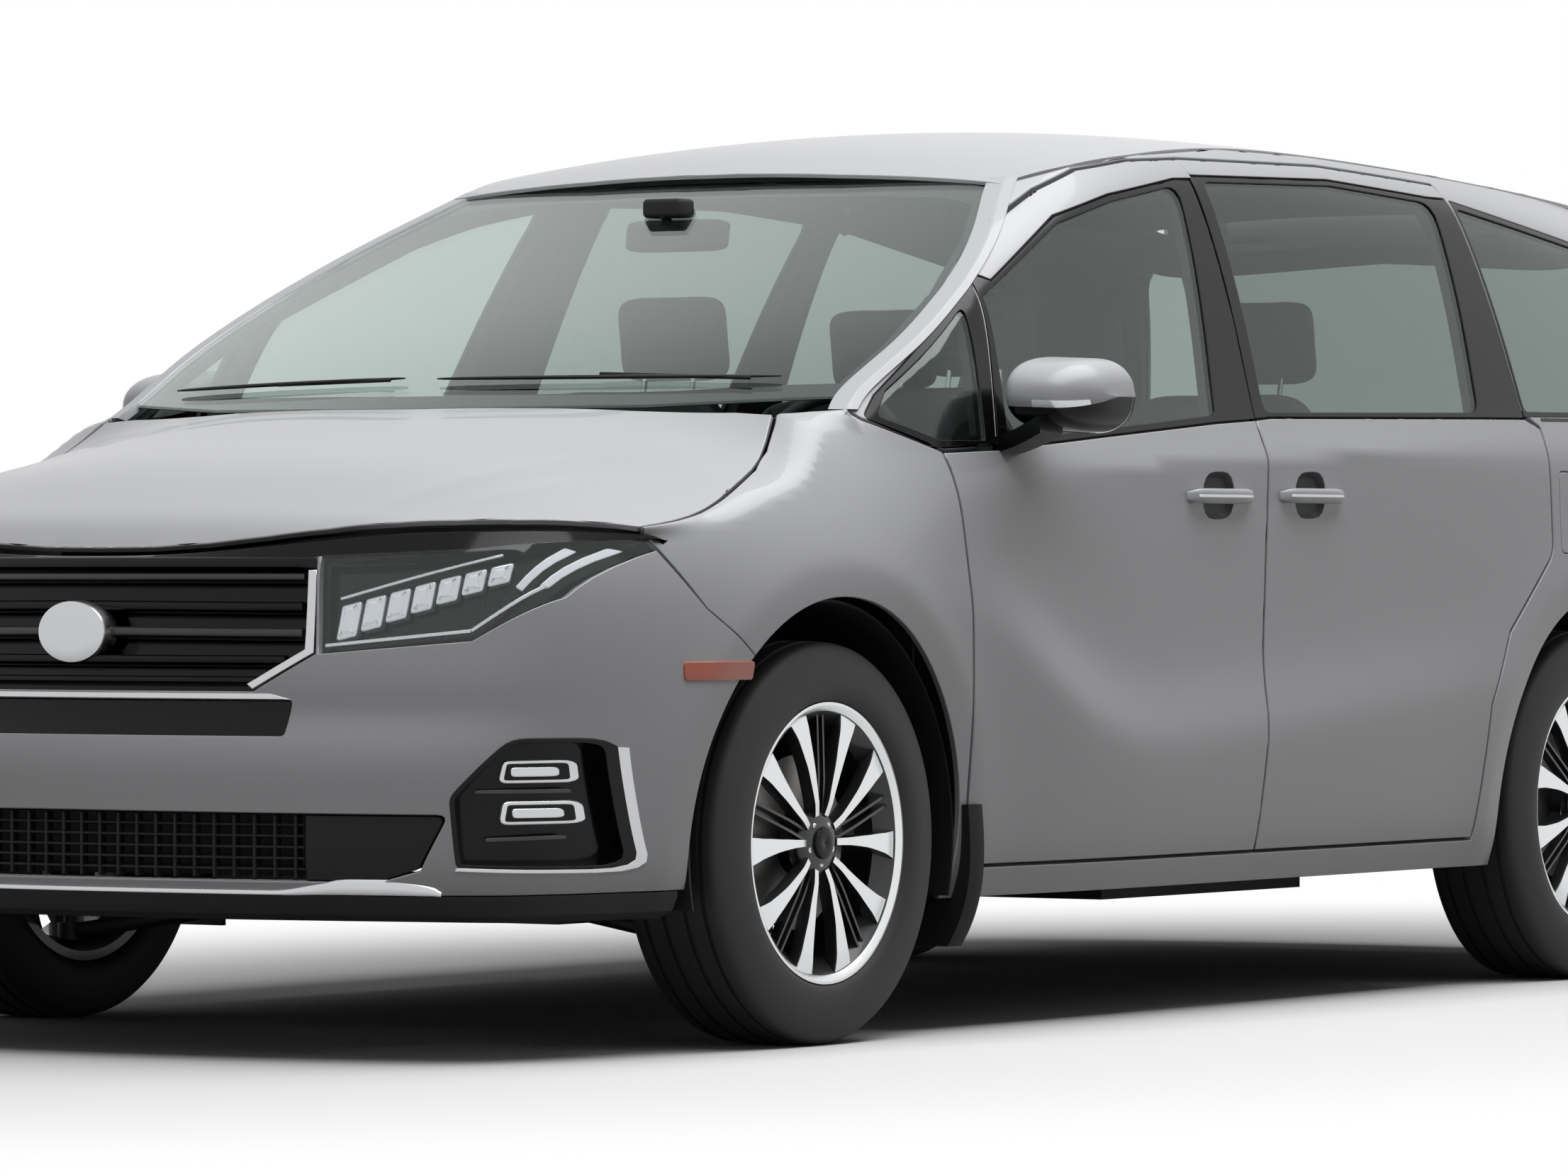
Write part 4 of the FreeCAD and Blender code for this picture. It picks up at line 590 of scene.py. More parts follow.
def show(name, parts, body="body", replaces=(), angle=35):
    """Makes one piece from its parts, rides it on a body and says which nodes it stands for."""
    parts = [outward(p) for p in parts]
    verts = placed(np.concatenate([p["verts"] for p in parts]))
    starts = np.cumsum([0] + [len(p["verts"]) for p in parts])
    tris = np.concatenate([p["tris"] + start for p, start in zip(parts, starts)])
    given = [np.zeros((len(p["tris"]), 3, 3)) if p["normals"] is None else p["normals"] for p in parts]
    finishes = list(dict.fromkeys(p["finish"] for p in parts))
    index = np.concatenate([np.full(len(p["tris"]), finishes.index(p["finish"])) for p in parts])
    mesh = bpy.data.meshes.new(name)
    mesh.vertices.add(len(verts))
    mesh.vertices.foreach_set("co", verts.ravel())
    mesh.loops.add(tris.size)
    mesh.loops.foreach_set("vertex_index", tris.ravel().astype(np.int32))
    mesh.polygons.add(len(tris))
    mesh.polygons.foreach_set("loop_start", np.arange(0, tris.size, 3, dtype=np.int32))
    for finish in finishes:
        mesh.materials.append(materials[finish])
    mesh.polygons.foreach_set("material_index", index.astype(np.int32))
    mesh.polygons.foreach_set("use_smooth", np.ones(len(tris), bool))
    mesh.update(calc_edges=True)
    mesh.set_sharp_from_angle(angle=np.radians(angle))
    if any(p["normals"] is not None for p in parts):
        mesh.normals_split_custom_set(np.concatenate(given).reshape(-1, 3))
    piece = bpy.data.objects.new(name, mesh)
    bpy.context.scene.collection.objects.link(piece)
    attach(piece, body)
    if replaces:
        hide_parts(*replaces)
    print(name, len(tris), "triangles")
    return piece


# %% [markdown]
# ## Finishes
# Silver paint is aluminium flakes under clear lacquer: a metallic base with some roughness, and a sharp
# coat over it. Fine noise in the roughness and a slight bump keep it from looking like plastic. Glass is
# a see-through tint under a mirror. Its share is 0.04 seen straight on and grows to 1 at the edge by
# Schlick's rule, the fifth power of Facing.

# %% Finishes
def finish(name, colour, rough=0.5, metal=0.0, coat=0.0, grain=0.0, grain_size=900.0, glow=0.0, uneven=0.0,
           shine=0.5):
    """A Principled material; grain is its bump's height in metres, uneven how far its roughness wanders."""
    material = bpy.data.materials.new(name)
    material.use_nodes = True
    tree = material.node_tree
    shader = tree.nodes["Principled BSDF"]
    shader.inputs["Base Color"].default_value = (*colour, 1)
    shader.inputs["Roughness"].default_value = rough
    shader.inputs["Metallic"].default_value = metal
    shader.inputs["Coat Weight"].default_value = coat
    shader.inputs["Coat Roughness"].default_value = 0.03
    shader.inputs["Specular IOR Level"].default_value = shine
    if glow:
        shader.inputs["Emission Color"].default_value = (*colour, 1)
        shader.inputs["Emission Strength"].default_value = glow
    if grain or uneven:
        place = tree.nodes.new("ShaderNodeTexCoord")
        noise = tree.nodes.new("ShaderNodeTexNoise")
        noise.inputs["Scale"].default_value = grain_size
        noise.inputs["Detail"].default_value = 3.0
        tree.links.new(place.outputs["Object"], noise.inputs["Vector"])
    if grain:
        bump = tree.nodes.new("ShaderNodeBump")
        bump.inputs["Strength"].default_value = 1.0
        bump.inputs["Distance"].default_value = grain
        tree.links.new(noise.outputs["Fac"], bump.inputs["Height"])
        tree.links.new(bump.outputs["Normal"], shader.inputs["Normal"])
    if uneven:
        spread = tree.nodes.new("ShaderNodeMapRange")
        spread.inputs["To Min"].default_value = max(rough - uneven, 0.02)
        spread.inputs["To Max"].default_value = rough + uneven
        tree.links.new(noise.outputs["Fac"], spread.inputs["Value"])
        tree.links.new(spread.outputs["Result"], shader.inputs["Roughness"])
    materials[name] = material


def glass(name, tint, strength=1.0):
    """A tinted pane under a mirror whose share is 0.04 + 0.96 times Facing to the fifth power."""
    material = bpy.data.materials.new(name)
    material.use_nodes = True
    tree = material.node_tree
    clear = tree.nodes.new("ShaderNodeBsdfTransparent")
    clear.inputs["Color"].default_value = (*tint, 1)
    weight = tree.nodes.new("ShaderNodeLayerWeight")
    weight.inputs["Blend"].default_value = 0.5
    fifth = tree.nodes.new("ShaderNodeMath")
    fifth.operation = "POWER"
    fifth.inputs[1].default_value = 5.0
    tree.links.new(weight.outputs["Facing"], fifth.inputs[0])
    share = tree.nodes.new("ShaderNodeMath")
    share.operation = "MULTIPLY_ADD"
    share.inputs[1].default_value = 0.96 * strength
    share.inputs[2].default_value = 0.04 * strength
    share.use_clamp = True
    mix = tree.nodes.new("ShaderNodeMixShader")
    gloss = tree.nodes.new("ShaderNodeBsdfGlossy")
    gloss.inputs["Roughness"].default_value = 0.02
    gloss.inputs["Color"].default_value = (0.95, 0.98, 0.97, 1)
    tree.links.new(fifth.outputs["Value"], share.inputs[0])
    tree.links.new(share.outputs["Value"], mix.inputs["Fac"])
    tree.links.new(clear.outputs["BSDF"], mix.inputs[1])
    tree.links.new(gloss.outputs["BSDF"], mix.inputs[2])
    tree.links.new(mix.outputs["Shader"], tree.nodes["Material Output"].inputs["Surface"])
    materials[name] = material


finish("paint", (0.47, 0.475, 0.49), rough=0.42, metal=0.10, coat=0.25, grain=0.00002, grain_size=1400,
       uneven=0.03, shine=0.25)
# A darker copy of the body paint: painted shade for parts under the hood, in the door openings and at the
# tailgate's hinges
finish("paint_under", (0.20, 0.20, 0.21), rough=0.5, metal=0.3, coat=0.2, uneven=0.05, grain_size=40)
finish("gloss_black", (0.005, 0.005, 0.006), rough=0.14, uneven=0.03, grain_size=25, shine=0.2)
finish("black_plastic", (0.010, 0.010, 0.011), rough=0.6, grain=0.00015, grain_size=700,
       uneven=0.08, shine=0.25)
finish("rubber", (0.010, 0.010, 0.010), rough=0.65, grain=0.00012, grain_size=350, uneven=0.10)
# Near-black: the windshield's real black border, and painted shade in the handle cups and on the door rail's
# slot
finish("gasket", (0.006, 0.006, 0.006), rough=0.5, uneven=0.08, grain_size=120)
finish("chrome", (0.78, 0.79, 0.80), rough=0.10, metal=1.0, uneven=0.03, grain_size=60)
finish("satin", (0.55, 0.555, 0.565), rough=0.28, metal=1.0, uneven=0.05, grain_size=80)
finish("machined", (0.80, 0.81, 0.82), rough=0.24, metal=0.9, uneven=0.06, grain_size=300)
finish("rim_dark", (0.022, 0.023, 0.025), rough=0.35, metal=0.3, coat=0.4, uneven=0.05, grain_size=60)
finish("cast_steel", (0.06, 0.058, 0.056), rough=0.6, metal=0.5, grain=0.0003, grain_size=160, uneven=0.12)
finish("disc_steel", (0.30, 0.29, 0.28), rough=0.38, metal=1.0, uneven=0.08, grain_size=220)
finish("aluminium", (0.40, 0.40, 0.41), rough=0.5, metal=0.9, grain=0.0002, grain_size=200, uneven=0.1)
finish("trim", (0.040, 0.042, 0.043), rough=0.7, grain=0.0002, grain_size=500, uneven=0.08)
finish("trim_light", (0.30, 0.30, 0.295), rough=0.8, grain=0.0002, grain_size=600, uneven=0.06)
finish("leather", (0.035, 0.037, 0.040), rough=0.55, grain=0.0004, grain_size=420, uneven=0.10)
finish("lamp_clear", (0.80, 0.82, 0.84), rough=0.12, metal=0.6, coat=0.5, uneven=0.05, grain_size=90)
finish("lamp_bar", (0.85, 0.88, 0.92), rough=0.25, coat=0.5, glow=0.35, uneven=0.05, grain_size=90)
finish("amber", (0.62, 0.085, 0.012), rough=0.25, coat=0.5, uneven=0.05, grain_size=120)
finish("red_lens", (0.36, 0.008, 0.010), rough=0.15, coat=0.9, uneven=0.04, grain_size=80)
finish("underseal", (0.018, 0.018, 0.019), rough=0.8, grain=0.0008, grain_size=130, uneven=0.1)
glass("front_glass", (0.77, 0.82, 0.805))
glass("privacy_glass", (0.60, 0.645, 0.63))
glass("lens", (0.96, 0.965, 0.97), strength=0.6)
print("finishes", len(materials))

# %% [markdown]
# ## Doors
# A front door has painted metal below the belt and over the window, and gloss black trim round the glass
# and on the pillar behind it. So it is cut as three outlines that meet, over one inner shell, with the
# window cut through.

# %% Door outlines
SILL_TOP = 312
SHUT = 3.5  # half the gap between panels that shut
DOOR_WALL = 84.0  # skin to trim below the belt
FRAME_WALL = 40.0  # skin to trim round a window

door_front = [(473, SILL_TOP), (450, 808), (424, 1060), (417, 1092)]
door_rear = [(1570, 1186), (1553, 805), (1520, SILL_TOP)]
front_door_line = door_front + [
    (596, 1106), (724, 1440, 25), (952, 1549), (1130, 1614), (1283, 1659), (1460, 1684),
    (1650, 1695)] + door_rear
front_window = [
    (640, 1116, 10), (1418, 1175, 20), (1572, 1640, 30), (1300, 1597), (1090, 1548), (716, 1392, 12)]
front_belt = [(600, 1099), (1000, 1130), (1418, 1161), (1567, 1169)]
front_top = [(1632, 1652), (1572, 1651), (1300, 1609), (1090, 1560), (770, 1424), (728, 1438)]
front_lower = door_front + front_belt + door_rear[1:]
front_upper = [(728, 1442), (952, 1549), (1130, 1614), (1283, 1659), (1460, 1684), (1650, 1695), (1644, 1655)]
front_upper += [(p[0], p[1] + 1) for p in front_top[1:5]]
front_black = front_belt + [(1570, 1186)] + front_top + [(718, 1430), (598, 1106)]

sliding_door_line = [
    (1520, SILL_TOP), (1553, 805), (1570, 1186), (1650, 1695), (2200, 1702), (2690, 1682), (2693, 1614),
    (2690, 1196, 20), (2750, 1168, 10), (2754, 905, 60), (2560, 740), (2478, 590), (2440, SILL_TOP)]
sliding_window = [
    (1612, 1184, 20), (2500, 1197, 40), (2610, 1640, 40), (2200, 1662), (1680, 1650, 25)]
sliding_belt = [(1567, 1170), (1629, 1174), (2500, 1186), (2692, 1188)]
sliding_top = [(2693, 1651), (2610, 1652), (2200, 1673), (1668, 1661), (1640, 1660)]
sliding_lower = [(1520, SILL_TOP), (1553, 805), (1567, 1169)] + sliding_belt[1:] + [
    (2750, 1168, 10), (2754, 905, 60), (2560, 740), (2478, 590), (2440, SILL_TOP)]
sliding_upper = [(1644, 1662), (1650, 1695), (2200, 1702), (2690, 1682), (2692, 1653)]
sliding_upper += [(p[0], p[1] + 1) for p in sliding_top[1:4]]
sliding_black = sliding_belt + sliding_top


HANDLE = 250  # length of a pull handle
HANDLE_STAND = 24.0  # how far its middle stands off
CUP_LOW = 62  # half length of the recess behind it at the foot
CUP_HIGH = 58
CUP_TALL = 46  # half height
CUP_DEEP = 26.0
CUP_RISE = 2


def cup(y, z):
    """The outline of a handle's recess in the door, rising a little to the rear."""
    return [(y - CUP_LOW, z - CUP_TALL, 44), (y + CUP_LOW, z - CUP_TALL + CUP_RISE, 44),
            (y + CUP_HIGH, z + CUP_TALL + CUP_RISE, 44), (y - CUP_HIGH, z + CUP_TALL, 44)]


def handle(y, z):
    """A pull handle with its cup: a flat oval carried along an arc that stands off the door."""
    t = np.linspace(-1, 1, 40)
    along_y = y + t * HANDLE / 2
    stand = HANDLE_STAND * np.clip((1 - np.abs(t) ** 6), 0, 1) ** 0.5 - 8
    centre = np.stack([skin(along_y, np.full(40, z))[:, 0] + stand, along_y, z + 0 * t], 1)
    a = np.linspace(0, 2 * np.pi, 24, endpoint=False)
    taper = (1 - 0.55 * np.abs(t) ** 8)[:, None]
    oval = np.stack([7 * np.cos(a), 0 * a, 15 * np.sign(np.sin(a)) * np.abs(np.sin(a)) ** 0.8], 1)
    bar = lattice(centre[:, None] + taper[..., None] * oval, "paint", round_b=True, caps=True)
    line = centre[:, None] + taper[..., None] * (oval * (0.35, 1, 0.22) + (6.0, 0, 0))
    strip = lattice(line[3:-3], "satin", round_b=True, caps=True)
    loop = from_side(cup(y, z), 1.0)
    inwards = np.linspace(0, 1, 10)
    middle = loop.mean(0)
    rings = middle + (loop - middle) * (1 - inwards[:, None, None])
    deep = CUP_DEEP * (1 - (1 - inwards) ** 2.2)
    bowl = skin(rings[..., 0], rings[..., 1]) - normal(skin, loop)[None] * (deep[:, None, None] + 1.0)
    outer = skin(rings[..., 0], rings[..., 1]) - normal(skin, loop)[None] * (deep[:, None, None] + 3.0)
    wall = np.concatenate([bowl, outer[::-1]])
    # The cup's wall is near-black: painted shade in the recess behind the handle
    return [bar, strip, lattice(wall, "gasket", round_a=True, round_b=True)]


def shell(line, window):
    """The inside of a door, full below the belt and thinner round the window."""
    def depth(u, z):
        share = np.clip((z - belt_z(u)) / 40 + 0.5, 0, 1)
        return DOOR_WALL + (FRAME_WALL - DOOR_WALL) * share
    return plate(skin, from_side(line, -SHUT - 0.5), [from_side(window, 5)], step=30, top=-12, depth=depth,
                 edge=1, finish="trim")


# %% Doors
def door_parts(line, lower, upper, black, window, hand):
    """A door's panels, its inner shell and its handle."""
    parts = [
        plate(skin, from_side(lower, -SHUT), [from_side(cup(*hand))], step=22, depth=14, edge=2.5),
        plate(skin, from_side(upper, -1.2), step=18, top=-0.5, depth=14, edge=1.5),
        plate(skin, from_side(black, -1.2), [from_side(window)], step=22, top=-1.5, depth=13, edge=1.5,
              finish="gloss_black"),
        shell(line, window),
    ]
    return parts + handle(*hand)


front_door = door_parts(front_door_line, front_lower, front_upper, front_black, front_window, (1368, 1014))
sliding_door = door_parts(
    sliding_door_line, sliding_lower, sliding_upper, sliding_black, sliding_window, (1730, 1017))


def pane(window, finish, step=30):
    """A side window: a thin plate set back from the skin, inside its opening."""
    return plate(skin, from_side(window, -0.5), step=step, top=-5, depth=9.5, edge=0.5, finish=finish)


front_pane = pane(front_window, "front_glass")
for part, side in ((lambda p: p, "left"), (mirrored, "right")):
    door = "front_door_" + side
    show("front_door_skin_" + side, [part(p) for p in front_door], door, [door])
    show("front_door_window_" + side, [part(front_pane)], door, ["front_door_glass_" + side])
    show("sliding_door_skin_" + side, [part(p) for p in sliding_door], "body", ["sliding_door_" + side])


# %% [markdown]
# ## Body side and fenders
# The pressing behind the doors runs from the front pillar over the roof's side and down the rear quarter
# to the sill. Its outline is one big shape with the two doors, the quarter window and the wheel opening
# cut out of it.

# %% Body side panels
def circle(y, z, r, count=120):
    """A round outline."""
    a = np.linspace(0, 2 * np.pi, count, endpoint=False)
    return np.stack([y + r * np.cos(a), z + r * np.sin(a)], 1)


SILL = 252
pillar_z = np.array([1200, 1274, 1400, 1520, 1610], float)
screen_side = [(y, z) for y, z in zip(screen_edge(pillar_z)[1], pillar_z)]
roof_y = np.array([1090, 1283, 1500, 1850, 2200, 2700, 3200, 3426], float)
roof_side = [(y, z - 1) for y, z in zip(roof_y, roof_edge(roof_y)[1])]
body_side_line = [(480, SILL), (3426, SILL)] + roof_side[::-1] + screen_side[::-1]
body_side_line += [(222, 1166), (238, 1151), (402, 1098), (520, 1088), (520, 420), (480, 330)]
door_hole = front_door_line[:10] + sliding_door_line[3:]
quarter_window = [
    (2706, 1202, 15), (3760, 1212, 60), (3700, 1440, 120), (3263, 1556), (2712, 1634, 20)]
small_window = [(280, 1156, 8), (420, 1113, 10), (560, 1114, 8), (640, 1372, 10), (330, 1205, 60)]
small_black = [(244, 1153, 8), (300, 1133), (405, 1098), (592, 1107), (712, 1428), (640, 1396), (300, 1196)]
quarter_black = [
    (2694, 1190, 6), (3426, 1198), (3426, 1531), (3263, 1568), (2700, 1650, 10)]

door_cut = from_side(door_hole, SHUT - 0.5)
arch_cut = from_side(circle(WHEELBASE, HUB_Z, ARCH))
fuel_lid = [(2790, 905, 14), (2930, 905, 14), (2930, 1075, 14), (2790, 1075, 14)]
side_skin = plate(
    skin, from_side(body_side_line, -1.0),
    [door_cut, arch_cut, from_side(small_black), from_side(quarter_black), from_side(fuel_lid, 1.5)],
    step=24, depth=26, edge=2.5)
side_inner = plate(
    skin, from_side(body_side_line, -6),
    [from_side(door_hole, 22), from_side(circle(WHEELBASE, HUB_Z, ARCH + 5)), from_side(small_window, 3),
     from_side(quarter_window, 3)],
    step=34, top=-24, depth=lambda u, z: np.where(z > belt_z(u), FRAME_WALL, DOOR_WALL), edge=1,
    finish="trim")
side_parts = [
    side_skin, side_inner, plate(skin, from_side(fuel_lid), step=22, depth=12, edge=2.0),
    plate(skin, from_side(small_black, -0.8), [from_side(small_window)], step=16, top=-1.5, depth=12,
          edge=1, finish="gloss_black"),
    plate(skin, from_side(quarter_black, -0.8), [from_side(quarter_window)], step=22, top=-1.5, depth=12,
          edge=1, finish="gloss_black"),
]

# %% Fender
fender_top = curve((-560, 922), (-300, 950), (-160, 985), (0, 1040), (110, 1112), (216, 1120))
ROLL = 80.0  # how much of the outline's height the fender's rolled edge takes
HOOD_CORNER = 92.0  # station of the hood's rear corner
PILLAR_FOOT = 216.0


def hood_edge(y):
    """Where the fender ends at the top: at the hood's side, and behind it on a line to the pillar's foot."""
    ahead = y < HOOD_CORNER
    behind = [HOOD_CORNER, PILLAR_FOOT]
    corner_x, corner_z = float(hood_side_x(HOOD_CORNER)) + 4, float(hood_side_z(HOOD_CORNER))
    x = np.where(ahead, hood_side_x(y) + 4, np.interp(y, behind, [corner_x, 866]))
    z = np.where(ahead, hood_side_z(y), np.interp(y, behind, [corner_z, 1168]))
    return np.stack([x, y, z], -1)


def fender_surface(u, z):
    """The skin, rolled over above a line by a cubic with set ends and slopes, to run into the hood."""
    u, z = np.broadcast_arrays(np.asarray(u, float), np.asarray(z, float))
    p = skin(u, z)
    low = fender_top(p[..., 1])
    t = np.clip((z - low) / ROLL, 0, 1.2)[..., None]
    start = skin(u, low)
    end = hood_edge(start[..., 1])
    first = unit(start - skin(u, low - 1))
    rise = 3 * (hood_line(start[..., 1]) - hood_side_z(start[..., 1])) / hood_side_x(start[..., 1])
    last = unit(np.stack([-np.ones(u.shape), np.zeros(u.shape), np.maximum(rise, 0.1)], -1))
    reach = np.linalg.norm(end - start, axis=-1, keepdims=True)
    rolled = (start * (1 + 2 * t) + first * reach * t) * (1 - t) ** 2
    rolled = rolled + (end * (3 - 2 * t) - last * reach * (1 - t)) * t ** 2
    behind = np.clip((p[..., 1] - 210) / 8, 0, 1)[..., None]
    return np.where((z <= low)[..., None], p, rolled * (1 - behind) + p * behind)


fender_rows = np.array([-548, -450, -350, -250, -160, -80, 0, 50, 100, 150, 209], float)
fender_line = list(zip(fender_rows, fender_top(fender_rows) + ROLL)) + [
    (222, 1158), (236, 1148), (400, 1096), (417, 1090), (424, 1060), (450, 808), (473, 330), (473, SILL),
    (380, SILL), (0, 500), (-289, 715), (-420, 800), (-548, 936)]
fender = plate(
    fender_surface, from_side(fender_line, -1.0),
    [from_side(circle(0, HUB_Z, ARCH)), from_side(front_door_line, SHUT - 0.5)], step=18, depth=12, edge=2.0)
show("fender_skins", both([fender]), "body", ["fenders"])

# %% [markdown]
# ## Hinge posts
# A post with two hinges carries each front door at its front edge, and between the doors stands the
# centre post that both shut against. They only show when a door is open, so plain rounded blocks do, on
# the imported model's own measures.

# %% Posts and hinges
HINGE_Y = 512.0  # station of the front doors' axis
HINGE_HEIGHTS = (480, 860)
POST_FOOT, POST_BELT, POST_HEAD = 262, 1186, 1690
POST_HALF = 46.0

# The first two posts take the darker copy of the paint: painted shade inside the door opening
posts = [block((820, 846), (472, 572), (300, 1090), "paint_under"),
         block((824, 904), (1490, 1590), (POST_FOOT, 300), "paint_under"),
         block((826, 842), (404, 480), (POST_FOOT, 1085), "underseal", 3)]
for z in HINGE_HEIGHTS:
    posts.append(block((826, 976), (HINGE_Y - 5, HINGE_Y + 5), (z - 24, z + 24), "cast_steel", 2))
post_z = np.linspace(POST_FOOT, POST_HEAD, 30)
post_middle = curve((POST_FOOT, 1536), (805, 1556), (POST_BELT, 1604), (POST_HEAD, 1672))(post_z)
post_y = post_middle[:, None] + np.array([-1, 1, 1, -1]) * POST_HALF
post_in = np.where(post_z > POST_BELT, 60.0, 110.0)[:, None] + np.array([0, 0, 34, 34])
post_x = side_x(post_y, post_z[:, None]) - post_in
post_points = np.stack([post_x, post_y, post_z[:, None] + 0 * post_y], -1)
posts.append(lattice(post_points, "trim", round_b=True, caps=True))

# %% [markdown]
# ## Windshield, pillars, cowl and roof
# The pillar is the skin itself, bent round the edge of the glass, so a strip on the windshield's own
# surface goes on from the side panel. The roof's sides have a small seam where the roof panel is laid on.

# %% Pillars
pillar_height = np.linspace(1168, 1640, 60)
edge_x, edge_y = screen_edge(pillar_height)
strip = np.concatenate([np.linspace(34, 0, 8), -np.linspace(1, 9, 4)])
over_screen = screen(edge_x[:, None] - np.maximum(strip, 0), pillar_height[:, None] + 0 * strip)
round_y = edge_y[:, None] + np.maximum(-strip, 0) * 2.2
over_side = np.stack([
    side_x(round_y, pillar_height[:, None]), round_y, pillar_height[:, None] + 0 * round_y], -1)
pillar_top = np.where((strip < 0)[None, :, None], over_side, over_screen)
pillar_back = pillar_top + (-10, 16, -6)
pillar = lattice(np.concatenate([pillar_top, pillar_back[:, ::-1]], 1), "paint", round_b=True, caps=True)
side_parts += posts + [pillar]
show("body_side_left_skin", side_parts, "body", ["body_side_left"])
show("body_side_right_skin", [mirrored(p) for p in side_parts], "body", ["body_side_right"])

# %% Windshield
screen_z = np.array([1196, 1225, 1300, 1400, 1520, 1590, 1622], float)
glass_edge = screen_edge(screen_z)[0] - 32
header = [(0, 1640), (400, 1637), (560, 1632)]
screen_line_left = [(0, 1176), (500, 1180), (740, 1192)] + list(zip(glass_edge, screen_z)) + header[::-1]
screen_loop = np.array(whole(screen_line_left))
frit = np.array(whole(
    [(0, 1206), (480, 1209), (690, 1222)] + list(zip(glass_edge[1:-1] - 20, screen_z[1:-1])) + [
        (560, 1606), (400, 1612), (0, 1616)]))
windshield = plate(screen, screen_loop, step=36, top=-3, depth=8, edge=0.8, finish="front_glass")
border = plate(screen, screen_loop, [frit], step=20, top=-8.5, depth=10, edge=0.2, finish="gasket")
show("windshield_pane", [windshield, border], "body", ["windshield"])

# %% Roof
roof_rows = np.array([1052, 1090, 1283, 1500, 1850, 2200, 2700, 3200, 3500, 3738], float)
roof_half = roof_edge(np.maximum(roof_rows, 1092))[0] - 2
roof_front = [(0, 1048), (300, 1056), (560, 1084)]
roof_loop = np.array(whole(roof_front + list(zip(roof_half[1:], roof_rows[1:])) + [(0, roof_rows[-1])]))
roof_skin = plate(roof, roof_loop, step=36, depth=8, edge=2.0)
lining = plate(
    roof, np.array(whole([(0, 1100), (540, 1130), (640, 1600), (640, 2700), (560, 3650), (0, 3690)])),
    step=60, top=-9, depth=30, edge=3, finish="trim_light")
# The tailgate's hinge ears take the darker copy of the paint: painted shade
ears = [block((383 * k, 397 * k), (3665, 3764), (1652, 1678), "paint_under", 2) for k in (1, -1)]
show("roof_skin", [roof_skin, lining] + ears, "body", ["roof"])

# %% [markdown]
# ## Hood
# The hood carries two long folds on each side that fan out from the lamps to the pillars. Each is a low
# ridge: its height falls off with the square of the distance from a line, in the manner of a bell.

# %% Hood
# Each ridge: its start and end in x and y, its height, and how wide it is
RIDGES = [((500, -880), (700, 40), 5.0, 34), ((640, -800), (800, -60), 4.0, 30)]


def creased_hood(x, y):
    """The hood with its folds: bells along straight lines, fading at both ends."""
    p = hood(x, y)
    ax = np.abs(p[..., 0])
    for (x0, y0), (x1, y1), high, wide in RIDGES:
        long = np.hypot(x1 - x0, y1 - y0)
        run = ((ax - x0) * (x1 - x0) + (p[..., 1] - y0) * (y1 - y0)) / long
        off = ((ax - x0) * (y1 - y0) - (p[..., 1] - y0) * (x1 - x0)) / long
        share = np.clip(run / long, 0, 1)
        fade = np.sin(np.pi * share) ** 0.7
        p[..., 2] += high * fade * np.exp(-np.square(off / wide))
    return p


hood_rows = np.linspace(-560, 90, 12)
front_x = np.array([0, 120, 240, 360, 480, 600, 700, 790, 860], float)
hood_front_y = curve((-419, -897), (0, -930), (419, -897), (700, -806), (850, -672), (921, -560))
hood_loop = whole(
    list(zip(front_x, hood_front_y(front_x))) + list(zip(hood_side_x(hood_rows) - 3.5, hood_rows)) + [
        (700, 84), (500, 44), (250, 10), (0, 0)])
hood_skin = plate(creased_hood, np.array(hood_loop, float), step=26, depth=10, edge=3.0)
# The hood's frame underneath takes the darker copy of the paint: painted shade
hood_frame = plate(
    hood, grown(np.array(hood_loop, float), -22), step=60, top=-12, depth=24, edge=2, finish="paint_under")
arms = [block((716 * k, 728 * k), (60, 142), (1098, 1138), "cast_steel", 2) for k in (1, -1)]
show("hood_skin", [hood_skin, hood_frame] + arms, "hood", ["hood"])

# %% [markdown]
# ## The nose
# The bumper is one plate on the unrolled skin with openings for the lamps, the grille, the slot and the
# intake. What fills each opening sits a little back from it and is built of bars, cells and frames.

# %% Nose openings
grille_line = [(0, 897), (440, 897), (479, 896), (486, 832), (500, 722), (386, 655), (0, 655)]
lamp_line = [(486, 897), (760, 909), (945, 928), (900, 822), (780, 745), (506, 722), (492, 830)]
slot_line = [(0, 577), (455, 577, 8), (463, 640, 8), (0, 640)]
intake_line = [(0, 321), (640, 321, 10), (712, 342, 10), (760, 440, 12), (0, 442)]
bezel_line = [(772, 347, 12), (935, 340, 30), (935, 573, 25), (850, 573, 40), (762, 470, 30)]
BUMPER_FOOT = 298
SIDE_REACH = 2000  # how far back u is looked for from the nose


def u_of_side(y, z):
    """The skin's u at a station and height."""
    z = np.atleast_1d(np.asarray(z, float))
    y = np.broadcast_to(np.asarray(y, float), z.shape)
    return found(lambda u: skin(u, z)[:, 1], y, NOSE_END + 5, SIDE_REACH)


def s_of_front(x, z):
    """The nose's s at a half width and height."""
    z = np.atleast_1d(np.asarray(z, float))
    x = np.broadcast_to(np.asarray(x, float), z.shape)
    return found(lambda s: skin(NOSE_END + s, z)[:, 0], x, 0, FRONT_REACH)


